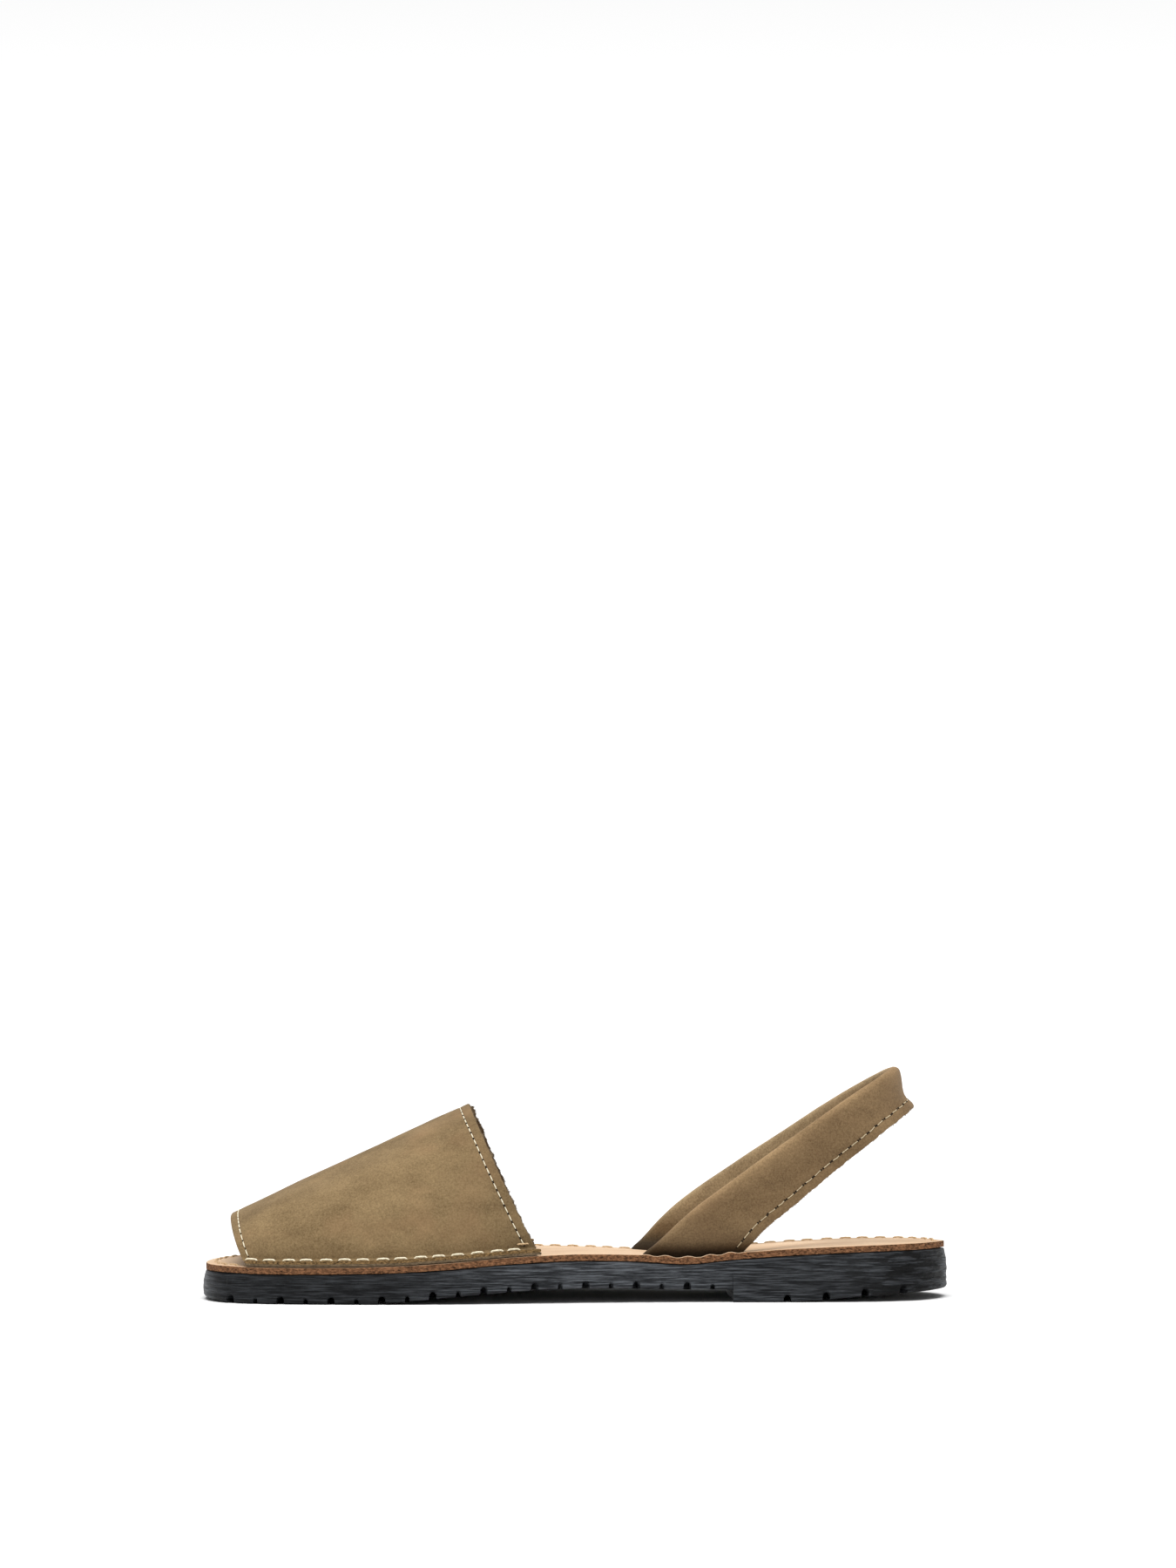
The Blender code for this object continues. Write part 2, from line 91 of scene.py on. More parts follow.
# Insole
SEAT_GAP = 0.3 * MM
INSOLE_THICK = 2.2 * MM
INSOLE_ROUND = 0.4 * MM
INSOLE_STEPS = 300
INSOLE_SEAM_INSET = 3.2 * MM
PUCKER_PITCH = 6.5 * MM
PUCKER_RISE = 0.35 * MM

# Vamp
VAMP_WALL = 2.0 * MM
LINING_SHARE = 0.4  # of the wall
FLANGE = 5.5 * MM
FLANGE_BEND = 1.2 * MM
CREASE = 0.8 * MM  # rounding between the flange and the wall, outside
ARCH_STEPS = 150
FLANGE_STEPS = 9
BEND_STEPS = 4
RIM_ROUND = 0.7 * MM
FRONT_MARGIN = 2.9 * MM
BACK_MARGIN = 3.3 * MM
FLANGE_SEAM_SHARE = 0.72  # where the flange's stitches lie, from its cut edge to the crease

# Slingback strap
STRAP_WIDTH = 16.5 * MM
STRAP_LAYER = 1.6 * MM
STRAP_SLIT = 0.5 * MM
STRAP_BULGE = 0.25 * MM
STRAP_THICK = 2 * (STRAP_LAYER + STRAP_BULGE) + STRAP_SLIT
BULGE_SHARE = 0.25
SLIT_SHARE = 0.30
SLOT_LENGTH = 33.5 * MM
SLOT_START = 0.590
SLOT_INSET = 6.0 * MM
SLOT_PLAY = 0.3 * MM
SLOT_OVERRUN = 4.1 * MM
OUTER_SLOT_LEAD = 3.5 * MM
OUTER_BOW = 2.2 * MM
POCKET_DEPTH = 3.0 * MM
STRAP_STEPS = 260
STRAP_MARGIN = 3.2 * MM
FOOT_BULGE = 1.5 * MM  # how far the strap swells out just above its slots
FOOT_FADE = 12.0 * MM  # height above the insole by which that swelling is gone
BACK_HOLLOW = 1.6 * MM  # how far the strap bends in above its raw edge, behind the heel
STRAP_RAG = 0.35 * MM  # unevenness of the raw edge
FOLD_HIGHLIGHT_REACH = 2.2 * MM  # distance from the fold by which most of its painted highlight is gone

# Studio light
SUN_POWER = 4.2
SUN_ANGLE = 55  # degrees across
SUN_LEAN = 12  # degrees from overhead, towards the camera
SKY_LOW = 1.08
SKY_HIGH = 0.34
SKY_FADE = (0.08, 0.26)  # sine of the heights between which the sky darkens
FLOOR_SHADE = 0.82

# Threads
FINE_THREAD = 0.18 * MM
FINE_PITCH = 3.0 * MM
FINE_GAP = 0.5 * MM
FRONT_HOLE = 0.20 * MM
BACK_HOLE = 0.34 * MM
STRAP_THREAD = 0.14 * MM
STRAP_PITCH = 4.0 * MM
STRAP_GAP = 0.8 * MM
STRAP_HOLE = 0.40 * MM
KNOT_THREAD = 0.32 * MM
THICK_THREAD = 0.40 * MM
THICK_PITCH = 6.3 * MM
THICK_GAP = 1.9 * MM
SUNK_DEPTH = 0.85 * MM  # of the insole's seam below its surface, on the inner side
PROUD_DEPTH = 0.10 * MM  # and elsewhere

SoleRow = namedtuple("SoleRow", "along inner outer top cant")
SOLE_ROWS = [
    SoleRow(0.000, -0.130, -0.130, 0.570, 0.00),
    SoleRow(0.010, -0.290, 0.050, 0.575, 0.00),
    SoleRow(0.040, -0.405, 0.215, 0.580, 0.00),
    SoleRow(0.090, -0.463, 0.335, 0.565, 0.00),
    SoleRow(0.160, -0.490, 0.425, 0.570, 0.00),
    SoleRow(0.250, -0.500, 0.485, 0.595, 0.01),
    SoleRow(0.330, -0.492, 0.500, 0.660, 0.04),
    SoleRow(0.420, -0.458, 0.477, 0.765, 0.08),
    SoleRow(0.510, -0.416, 0.424, 0.815, 0.13),
    SoleRow(0.580, -0.392, 0.370, 0.795, 0.14),
    SoleRow(0.645, -0.378, 0.330, 0.735, 0.13),
    SoleRow(0.715, -0.371, 0.308, 0.825, 0.09),
    SoleRow(0.800, -0.369, 0.298, 0.910, 0.07),
    SoleRow(0.880, -0.356, 0.282, 0.960, 0.06),
    SoleRow(0.950, -0.294, 0.220, 0.985, 0.06),
    SoleRow(0.985, -0.190, 0.116, 0.990, 0.06),
    SoleRow(1.000, -0.037, -0.037, 0.990, 0.06),
]

UnderRow = namedtuple("UnderRow", "along lift")
UNDER_ROWS = [
    UnderRow(0.000, 0.060),
    UnderRow(0.030, 0.020),
    UnderRow(0.080, 0.000),
    UnderRow(0.210, 0.000),
    UnderRow(0.330, 0.130),
    UnderRow(0.430, 0.250),
    UnderRow(0.520, 0.290),
    UnderRow(0.620, 0.265),
    UnderRow(0.710, 0.245),
]

HeelRow = namedtuple("HeelRow", "back lift")
HEEL_ROWS = [
    HeelRow(0.00, 0.000),
    HeelRow(0.22, 0.000),
    HeelRow(0.60, 0.110),
    HeelRow(1.00, 0.200),
]

VampRow = namedtuple("VampRow", "place inner ridge outer rise square sweep")
VAMP_ROWS = [
    VampRow(0.00, 0.059, 0.039, 0.080, 0.432, 2.60, 0.60),
    VampRow(0.50, 0.257, 0.199, 0.270, 0.716, 2.30, 0.76),
    VampRow(1.00, 0.455, 0.359, 0.443, 1.000, 2.15, 0.92),
]

# Soft troughs, and ridges where depth is negative, pressed into the vamp. place and end_place are
# shares of the way from the front edge to the back edge; across and end_across are shares of the way
# over the foot from the inner crease to the outer one; bow bends the line towards the outer side.
Crease = namedtuple("Crease", "place across end_place end_across bow depth width")
VAMP_CREASES = [
    Crease(0.06, 0.14, 0.24, 0.30, 0.02, -0.30 * MM, 4.0 * MM),
    Crease(0.10, 0.08, 0.40, 0.22, 0.02, 0.28 * MM, 5.0 * MM),
    Crease(0.30, 0.30, 0.62, 0.36, 0.03, 0.30 * MM, 6.0 * MM),
    Crease(0.36, 0.40, 0.66, 0.45, 0.02, -0.28 * MM, 5.5 * MM),
    Crease(0.22, 0.24, 0.74, 0.25, -0.02, -0.16 * MM, 2.2 * MM),
    Crease(0.52, 0.12, 0.92, 0.20, 0.03, 0.34 * MM, 7.0 * MM),
    Crease(0.66, 0.28, 0.95, 0.30, -0.02, -0.30 * MM, 6.0 * MM),
    Crease(0.70, 0.42, 0.96, 0.40, 0.02, 0.22 * MM, 5.0 * MM),
    Crease(0.44, 0.03, 0.58, 0.10, 0.01, 0.30 * MM, 3.0 * MM),
    Crease(0.74, 0.03, 0.90, 0.09, 0.01, 0.30 * MM, 3.0 * MM),
    Crease(0.12, 0.62, 0.50, 0.72, 0.03, 0.30 * MM, 6.0 * MM),
    Crease(0.20, 0.82, 0.60, 0.78, 0.02, -0.26 * MM, 5.0 * MM),
    Crease(0.45, 0.60, 0.90, 0.66, -0.03, 0.28 * MM, 6.5 * MM),
    Crease(0.60, 0.88, 0.94, 0.80, 0.02, 0.32 * MM, 5.0 * MM),
    Crease(0.30, 0.52, 0.85, 0.54, 0.02, -0.20 * MM, 7.0 * MM),
]

StrapRow = namedtuple("StrapRow", "along across height turn reach")
STRAP_ROWS = [
    StrapRow(0.624, 1.01, 0.125, 11.0, 1.62),
    StrapRow(0.658, 1.02, 0.248, 27.0, 1.36),
    StrapRow(0.692, 1.02, 0.353, 40.0, 1.21),
    StrapRow(0.736, 1.00, 0.482, 50.0, 1.15),
    StrapRow(0.784, 0.96, 0.619, 53.5, 1.08),
    StrapRow(0.832, 0.87, 0.757, 54.5, 1.03),
    StrapRow(0.877, 0.69, 0.878, 56.0, 0.98),
    StrapRow(0.911, 0.39, 0.962, 61.0, 0.93),
    StrapRow(0.926, 0.00, 0.997, 67.0, 0.90),
]

INNER = -1
OUTER = 1
ROUND_END = 0.10  # share of the length at each end where the outline turns across the foot


def monotone(places, values, place):
    """A smooth curve through the rows that never overshoots them."""
    last = len(places) - 1
    if place <= places[0]:
        return values[0]
    if place >= places[last]:
        return values[last]
    steps = [places[i + 1] - places[i] for i in range(last)]
    slopes = [(values[i + 1] - values[i]) / steps[i] for i in range(last)]
    i = next(k for k in range(last) if place <= places[k + 1])

    def tangent(k):
        if k == 0:
            return slopes[0]
        if k == last:
            return slopes[last - 1]
        before, after = slopes[k - 1], slopes[k]
        if before * after <= 0:
            return 0.0
        first = 2 * steps[k] + steps[k - 1]
        second = steps[k] + 2 * steps[k - 1]
        return (first + second) / (first / before + second / after)

    step = steps[i]
    t = (place - places[i]) / step
    rise = values[i + 1] - values[i]
    start, end = tangent(i) * step, tangent(i + 1) * step
    return values[i] + t * (start + t * (3 * rise - 2 * start - end + t * (start + end - 2 * rise)))


def read_rows(rows, place):
    """Every column of a table at a place given in its first column's units."""
    places = [row[0] for row in rows]
    columns = list(zip(*rows))
    return type(rows[0])(place, *(monotone(places, column, place) for column in columns[1:]))


def turn_of(along):
    """The angle that stands for a share of the length, so that the two ends of the outline are round."""
    return math.acos(max(-1.0, min(1.0, 1 - 2 * along)))


def along_of(turn):
    return (1 - math.cos(turn)) / 2


ROUND_SOLE_ROWS = [row._replace(along=turn_of(row.along)) for row in SOLE_ROWS]


@lru_cache(maxsize=None)
def sole_at(along):
    """The outsole's edges and top at a share of its length, in metres."""
    row = read_rows(ROUND_SOLE_ROWS, turn_of(along))
    return SoleRow(
        along,
        row.inner * BALL_WIDTH,
        row.outer * BALL_WIDTH,
        row.top * HEEL_HEIGHT,
        row.cant * HEEL_HEIGHT,
    )


def x_of(along):
    return (along - 0.5) * LENGTH


def edge(turn, side):
    along = along_of(turn)
    row = sole_at(along)
    return Vector((x_of(along), row.inner if side == INNER else row.outer))


@lru_cache(maxsize=None)
def rim(along, side):
    """A point of the outsole's plan and the direction that leads in from its edge."""
    small = 1e-3
    turn = turn_of(along)
    ahead, behind = max(0.0, turn - small), min(math.pi, turn + small)
    tangent = (edge(behind, side) - edge(ahead, side)).normalized()
    return edge(turn, side), Vector((tangent.y, -tangent.x)) * side


def outline(along, side, inset=0.0):
    """A point of the outsole's plan, moved in from the edge by inset."""
    point, inward = rim(along, side)
    return point + inward * inset


def across_share(along, y):
    """0 at the inner edge and 1 at the outer edge."""
    row = sole_at(along)
    width = row.outer - row.inner
    if width < MM:
        return 0.5
    return max(0.0, min(1.0, (y - row.inner) / width))


def sole_top(along, y):
    row = sole_at(along)
    return row.top - row.cant * across_share(along, y)


def insole_top(along, y):
    return sole_top(along, y) + SEAT_GAP + INSOLE_THICK


@lru_cache(maxsize=None)
def under_lift(along):
    """The underside's lift above the floor at the inner edge, without its grooves."""
    if along <= BREAST:
        return read_rows(UNDER_ROWS, along).lift * HEEL_HEIGHT
    return read_rows(HEEL_ROWS, (along - BREAST) / (1 - BREAST)).lift * HEEL_HEIGHT


def sole_under(along, y):
    """Height of the outsole's underside. The outer side of the waist is lower than the inner side."""
    return max(0.0, under_lift(along) - sole_at(along).cant * across_share(along, y))


def waist_recess(along):
    """How far the wall is set back just ahead of the heel block."""
    if along > BREAST:
        return 0.0
    return WAIST_RECESS * max(0.0, 1 - (BREAST - along) / WAIST_FADE)


def places_between(first, last, pitch):
    return [first + i * pitch for i in range(int((last - first) / pitch) + 1)]


def smooth_step(values, low, high):
    """0 below low, 1 above high and a soft rise between."""
    t = np.clip((np.asarray(values) - low) / (high - low), 0, 1)
    return t * t * (3 - 2 * t)


def ripple(points, sizes, shift=0.0):
    """Smooth noise from -1 to 1 at each point. sizes are its wavelengths along X, Y and Z."""
    scaled = np.asarray(points) / np.array(sizes) + shift
    values = [noise.noise(Vector(point)) for point in scaled.reshape(-1, 3).tolist()]
    return np.array(values).reshape(scaled.shape[:-1])


def unit(vectors):
    return vectors / np.linalg.norm(vectors, axis=-1, keepdims=True)


def normals_of(grid):
    """Normals of a grid of points whose rows follow each other towards the heel."""
    return unit(np.cross(np.gradient(grid, axis=0), np.gradient(grid, axis=1)))


def resample(points, count):
    """Points at even steps along a line."""
    reach = np.concatenate([[0], np.cumsum(np.linalg.norm(np.diff(points, axis=0), axis=1))])
    steps = np.linspace(0, reach[-1], count)
    return np.column_stack([np.interp(steps, reach, points[:, k]) for k in range(3)])


class Shell:
    """Gathers the points and faces of one mesh. Each face has the number of its material."""

    def __init__(self):
        self.points = []
        self.faces = []
        self.kinds = []

    def add(self, grid):
        """Adds a grid of points and returns their numbers as a grid of the same shape."""
        grid = np.asarray(grid)
        first = len(self.points)
        self.points.extend(grid.reshape(-1, 3).tolist())
        return first + np.arange(grid.shape[0] * grid.shape[1]).reshape(grid.shape[:2])

    def face(self, corners, kind):
        corners = list(dict.fromkeys(corners))
        if len(corners) > 2:
            self.faces.append(corners)
            self.kinds.append(kind)

    def skin(self, grid, kind=0, closed=False):
        """Lays faces over a grid of point numbers. A closed grid's last column joins its first."""
        if closed:
            grid = np.column_stack([grid, grid[:, 0]])
        corners = np.stack([grid[:-1, :-1], grid[1:, :-1], grid[1:, 1:], grid[:-1, 1:]], axis=2)
        for quad in corners.reshape(-1, 4).tolist():
            self.face(quad, kind)

    def mesh(self, name):
        mesh = bpy.data.meshes.new(name)
        mesh.from_pydata(self.points, [], self.faces)
        mesh.polygons.foreach_set("material_index", self.kinds)
        bm = bmesh.new()
        bm.from_mesh(mesh)
        bmesh.ops.recalc_face_normals(bm, faces=bm.faces)
        bm.to_mesh(mesh)
        bm.free()
        return mesh


def make_piece(name, shell, materials, node, sharp=50):
    """A piece of the sandal that stands for a CAD node and takes its finish from a slot."""
    mesh = shell.mesh(name)
    for material in materials:
        mesh.materials.append(material)
    mesh.shade_smooth()
    mesh.set_sharp_from_angle(angle=math.radians(sharp))
    piece = bpy.data.objects.new(name, mesh)
    bpy.context.scene.collection.objects.link(piece)
    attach(piece, "root")
    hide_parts(node)
    return piece


class Outline:
    """The sole's plan in fine steps: down the inner side to the heel and back along the outer side."""

    def __init__(self, alongs):
        self.sides = [(along, INNER) for along in alongs]
        self.sides += [(along, OUTER) for along in alongs[-2:0:-1]]
        self.edge = np.array([rim(*side)[0] for side in self.sides])
        self.inward = np.array([rim(*side)[1] for side in self.sides])

    def ring(self, inset, height):
        """The points at an inset from the edge, with a height for each share and Y."""
        plan = self.edge + self.inward * np.reshape(inset, (-1, 1))
        places = [place_of(along, x) for (along, side), x in zip(self.sides, plan[:, 0])]
        heights = [height(along, y) for along, y in zip(places, plan[:, 1])]
        return np.column_stack([plan, heights])


def place_of(along, x):
    """The share of the length at which to read a height, for a point of the station at along."""
    return along if ROUND_END < along < 1 - ROUND_END else x / LENGTH + 0.5


def cap(shell, ring, alongs, columns, height, kind):
    """Closes a ring of point numbers with a grid across the sole. height gives the new points' Z."""
    size = len(ring)
    shares = np.linspace(0, 1, columns + 2)[1:-1]
    rows = []
    for i in range(size // 2 + 1):
        first, last = ring[i], ring[(size - i) % size]
        if first == last:
            rows.append([first] * (columns + 2))
            continue
        start, end = np.array(shell.points[first]), np.array(shell.points[last])
        line = start + (end - start) * shares[:, None]
        line[:, 2] = [height(place_of(alongs[i], x), y) for x, y, z in line]
        rows.append([first, *shell.add(line[None])[0], last])
    shell.skin(np.array(rows), kind)


class Seam:
    """A line on a surface, walked by its length."""

    def __init__(self, points, normals):
        self.points = np.asarray(points)
        self.normals = np.asarray(normals)
        steps = np.linalg.norm(np.diff(self.points, axis=0), axis=1)
        self.reach = np.concatenate([[0], np.cumsum(steps)])

    def at(self, place):
        point = np.array([np.interp(place, self.reach, self.points[:, k]) for k in range(3)])
        normal = np.array([np.interp(place, self.reach, self.normals[:, k]) for k in range(3)])
        return point, unit(normal)

    def lowered(self, depth):
        return Seam(self.points - unit(self.normals) * depth, self.normals)

    def stitches(self, pitch, gap, start, end, play, seed):
        """Where each stitch begins and ends along the seam."""
        rng = random.Random(seed)
        found = []
        place = start
        while place + pitch - gap < end:
            jitter = rng.uniform(-play, play)
            found.append((place + jitter, place + jitter + pitch - gap))
            place += pitch
        return found


def sew(shell, seam, stitches, radius, lobes, kind=0):
    """Adds a tube of thread for each stitch. It rises from one hole and goes down the next."""
    sides = 4 * lobes
    for first, last in stitches:
        steps = max(6, round((last - first) / (radius * 0.9)))
        line, ups = [], []
        for k in range(steps + 1):
            t = k / steps
            point, up = seam.at(first + (last - first) * t)
            hump = min(1.0, math.sin(math.pi * t) * 1.9)
            line.append(point + up * radius * (2.3 * hump - 1.6))
            ups.append(up)
        line, ups = np.array(line), np.array(ups)
        forward = unit(np.gradient(line, axis=0))
        sideways = unit(np.cross(forward, ups))
        upright = np.cross(sideways, forward)
        rings = []
        for k in range(steps + 1):
            twist = k * 0.42
            ring = []
            for m in range(sides):
                angle = 2 * math.pi * m / sides
                bulge = 1 + 0.12 * math.cos(lobes * (angle + twist))
                arm = math.cos(angle) * sideways[k] + math.sin(angle) * upright[k]
                ring.append(line[k] + arm * radius * bulge)
            rings.append(ring)
        grid = shell.add(rings)
        shell.skin(grid, kind, closed=True)
        shell.face(grid[0].tolist(), kind)
        shell.face(grid[-1].tolist()[::-1], kind)


def press(points, normals, targets, depth, reach):
    """Pushes a surface in around target points, by depth at the target and little past reach."""
    if not len(targets):
        return points
    tree = kdtree.KDTree(len(targets))
    for k, target in enumerate(targets):
        tree.insert(Vector(target), k)
    tree.balance()
    flat = points.reshape(-1, 3)
    far = np.array([tree.find(Vector(point))[2] for point in flat.tolist()])
    push = depth * np.exp(-((far / reach) ** 2))
    return points - normals * push.reshape(points.shape[:-1] + (1,))


def holes_of(seam, stitches):
    return [seam.at(place)[0] for stitch in stitches for place in stitch]


def gaps_of(seam, stitches):
    """The middle of each gap between two stitches."""
    return [seam.at((first[1] + second[0]) / 2)[0] for first, second in zip(stitches, stitches[1:])]


def middles_of(seam, stitches):
    return [seam.at((first + last) / 2)[0] for first, last in stitches]


def line_of(seam, stitches, step):
    """Points along the stitched part of a seam."""
    return [seam.at(place)[0] for place in np.arange(stitches[0][0], stitches[-1][1], step)]


def dots(shell, seam, stitches, radius):
    """A small dent at each needle hole, dark with painted shade for the hole's depth."""
    for first, last in stitches:
        for place in (first, last):
            point, up = seam.at(place)
            ahead = unit(seam.at(place + MM)[0] - seam.at(place - MM)[0])
            side = np.cross(up, ahead)
            rings = []
            for size, lift in ((0.2, 0.30), (0.75, 0.22), (1.0, -0.2), (0.4, -0.9)):
                ring = []
                for m in range(8):
                    angle = math.pi * m / 4
                    arm = math.cos(angle) * ahead + math.sin(angle) * side
                    ring.append(point + arm * radius * size + up * radius * lift)
                rings.append(ring)
            grid = shell.add(rings)
            shell.skin(grid, closed=True)
            shell.face(grid[0].tolist(), 0)
            shell.face(grid[-1].tolist()[::-1], 0)


def grow_fibres(shell, roots, outwards, lengths, radius, seed):
    """Short bent fibres that taper to a point."""
    rng = random.Random(seed)
    for root, out, length in zip(roots, outwards, lengths):
        lean = unit(np.array([rng.gauss(0, 1) for k in range(3)]))
        curl = unit(np.array([rng.gauss(0, 1) for k in range(3)]))
        heading = unit(out + lean * 0.45)
        side = unit(np.cross(heading, curl))
        other = np.cross(heading, side)
        rings = []
        for k in range(4):
            t = k / 3
            centre = root + heading * length * t + side * length * 0.35 * t * t
            size = radius * (1 - 0.8 * t)
            ring = []
            for m in range(3):
                angle = 2 * math.pi * m / 3
                ring.append(centre + (math.cos(angle) * side + math.sin(angle) * other) * size)
            rings.append(ring)
        grid = shell.add(rings)
        shell.skin(grid, closed=True)
        shell.face(grid[0].tolist(), 0)
        shell.face(grid[-1].tolist()[::-1], 0)


# Materials


def node(tree, kind, inputs=None, **settings):
    """A shader node. Its inputs are values or the sockets that feed them."""
    made = tree.nodes.new(kind)
    for name, value in settings.items():
        setattr(made, name, value)
    for name, value in (inputs or {}).items():
        if isinstance(value, bpy.types.NodeSocket):
            tree.links.new(value, made.inputs[name])
        else:
            made.inputs[name].default_value = value
    return made


def grain(tree, size, detail=3.0, stretch=(1, 1, 1), rough=0.55):
    """Noise from 0 to 1 with features of about the given size in metres."""
    where = node(tree, "ShaderNodeTexCoord").outputs["Object"]
    shape = tuple(1 / (size * factor) for factor in stretch)
    mapped = node(tree, "ShaderNodeMapping", {"Vector": where, "Scale": shape}).outputs["Vector"]
    inputs = {"Vector": mapped, "Scale": 1.0, "Detail": detail, "Roughness": rough}
    return node(tree, "ShaderNodeTexNoise", inputs).outputs["Fac"]


def spread(tree, value, low, high):
    """Stretches a value so that low becomes 0 and high becomes 1."""
    inputs = {"Value": value, "From Min": low, "From Max": high}
    return node(tree, "ShaderNodeMapRange", inputs).outputs["Result"]


def math_node(tree, operation, first, second):
    made = node(tree, "ShaderNodeMath", operation=operation)
    for socket, value in zip(made.inputs, (first, second)):
        if isinstance(value, bpy.types.NodeSocket):
            tree.links.new(value, socket)
        else:
            socket.default_value = value
    return made.outputs[0]


def blend(tree, share, first, second, way="MIX"):
    """A colour between two colours, or the first one multiplied by the second as far as share says."""
    made = node(tree, "ShaderNodeMix", data_type="RGBA", blend_type=way)
    tree.links.new(share, made.inputs["Factor"])
    for socket, colour in ((made.inputs[6], first), (made.inputs[7], second)):
        if isinstance(colour, bpy.types.NodeSocket):
            tree.links.new(colour, socket)
        else:
            socket.default_value = (*colour, 1.0)
    return made.outputs[2]


def new_look(name, roughness, specular=0.5, sheen=0.0, coat=0.0):
    material = bpy.data.materials.new(name)
    material.use_nodes = True
    shader = material.node_tree.nodes["Principled BSDF"]
    shader.inputs["Roughness"].default_value = roughness
    shader.inputs["Specular IOR Level"].default_value = specular
    shader.inputs["Sheen Weight"].default_value = sheen
    shader.inputs["Sheen Roughness"].default_value = 0.5
    shader.inputs["Coat Weight"].default_value = coat
    shader.inputs["Coat Roughness"].default_value = 0.35
    return material, material.node_tree, shader


def place_on(tree, axis):
    """The place along one axis of the sandal's frame, in metres."""
    where = node(tree, "ShaderNodeTexCoord").outputs["Object"]
    return node(tree, "ShaderNodeSeparateXYZ", {"Vector": where}).outputs[axis]


def tint(tree, colour, axis, start, end, factor):
    """Multiplies a colour by another that sets in softly between two places along an axis."""
    share = spread(tree, place_on(tree, axis), start, end)
    return blend(tree, share, colour, factor, "MULTIPLY")


def set_bump(tree, shader, height, depth, strength=1.0):
    """Relief of the given depth in metres."""
    made = node(tree, "ShaderNodeBump", {"Height": height, "Distance": depth, "Strength": strength})
    tree.links.new(made.outputs["Normal"], shader.inputs["Normal"])


def nubuck_look(name, dark, light, rosy, painted_light_bands):
    """Matt leather with a short nap: fine mottling, soft clouds and a few rosier patches. Each painted
    light band gives a slow change along an axis, painted shade below a factor of 1 and painted light above:
    where it starts and ends, and its factor. The nap is painted paler, a painted highlight, where the mesh carries
    its fold value."""
    material, tree, shader = new_look(name, 0.92, 0.12, 0.05)
    fine = grain(tree, 0.62 * MM, 3.0, rough=0.75)
    cloud = grain(tree, 11 * MM, 4.0, (1.5, 1, 0.8), 0.6)
    tone = math_node(tree, "ADD", math_node(tree, "MULTIPLY", fine, 0.62), math_node(tree, "MULTIPLY", cloud, 0.38))
    colour = blend(tree, spread(tree, tone, 0.37, 0.63), dark, light)
    patch = grain(tree, 19 * MM, 3.0, (1.3, 1, 1))
    share = math_node(tree, "MULTIPLY", spread(tree, patch, 0.52, 0.72), 0.45)
    colour = blend(tree, share, colour, rosy)
    scratch = grain(tree, 1.0 * MM, 3.0, (22, 6, 0.55), 0.6)
    share = math_node(tree, "MULTIPLY", spread(tree, scratch, 0.66, 0.80), 0.35)
    colour = blend(tree, share, colour, tuple(c * 1.3 for c in light))
    for tone in painted_light_bands:
        colour = tint(tree, colour, *tone)
    # Painted highlight: the nap is made paler along the strap's fold, where the light catches it; the value is 0
    # elsewhere.
    wear_and_fold_highlight = node(tree, "ShaderNodeAttribute", attribute_name="wear_and_fold_highlight").outputs["Fac"]
    colour = blend(tree, wear_and_fold_highlight, colour, (1.75, 1.8, 1.85), "MULTIPLY")
    tree.links.new(colour, shader.inputs["Base Color"])
    nap = math_node(tree, "ADD", fine, grain(tree, 0.25 * MM, 2.0))
    set_bump(tree, shader, nap, 0.10 * MM, 0.7)
    return material


def raw_look(name, dark, light, size=0.35 * MM):
    """A cut leather edge: coarse specks of fibre."""
    material, tree, shader = new_look(name, 0.95, 0.12)
    specks = grain(tree, size, 4.0, (1.8, 1.8, 0.8), 0.7)
    colour = blend(tree, spread(tree, specks, 0.36, 0.66), dark, light)
    tree.links.new(colour, shader.inputs["Base Color"])
    set_bump(tree, shader, specks, 0.35 * MM)
    return material


def insole_look():
    """Natural leather, half matt, with faint pores and a slow change of tone."""
    material, tree, shader = new_look("tan_leather", 0.55, 0.22)
    pores = grain(tree, 0.45 * MM, 3.0)
    cloud = grain(tree, 14 * MM, 4.0, (1.5, 1, 1))
    colour = blend(tree, spread(tree, cloud, 0.32, 0.68), (0.55, 0.37, 0.23), (0.68, 0.50, 0.335))
    shade = blend(tree, spread(tree, pores, 0.30, 0.50), (0.46, 0.30, 0.18), colour)
    tree.links.new(shade, shader.inputs["Base Color"])
    tree.links.new(spread(tree, pores, -0.6, 1.4), shader.inputs["Roughness"])
    set_bump(tree, shader, pores, 0.06 * MM)
    return material


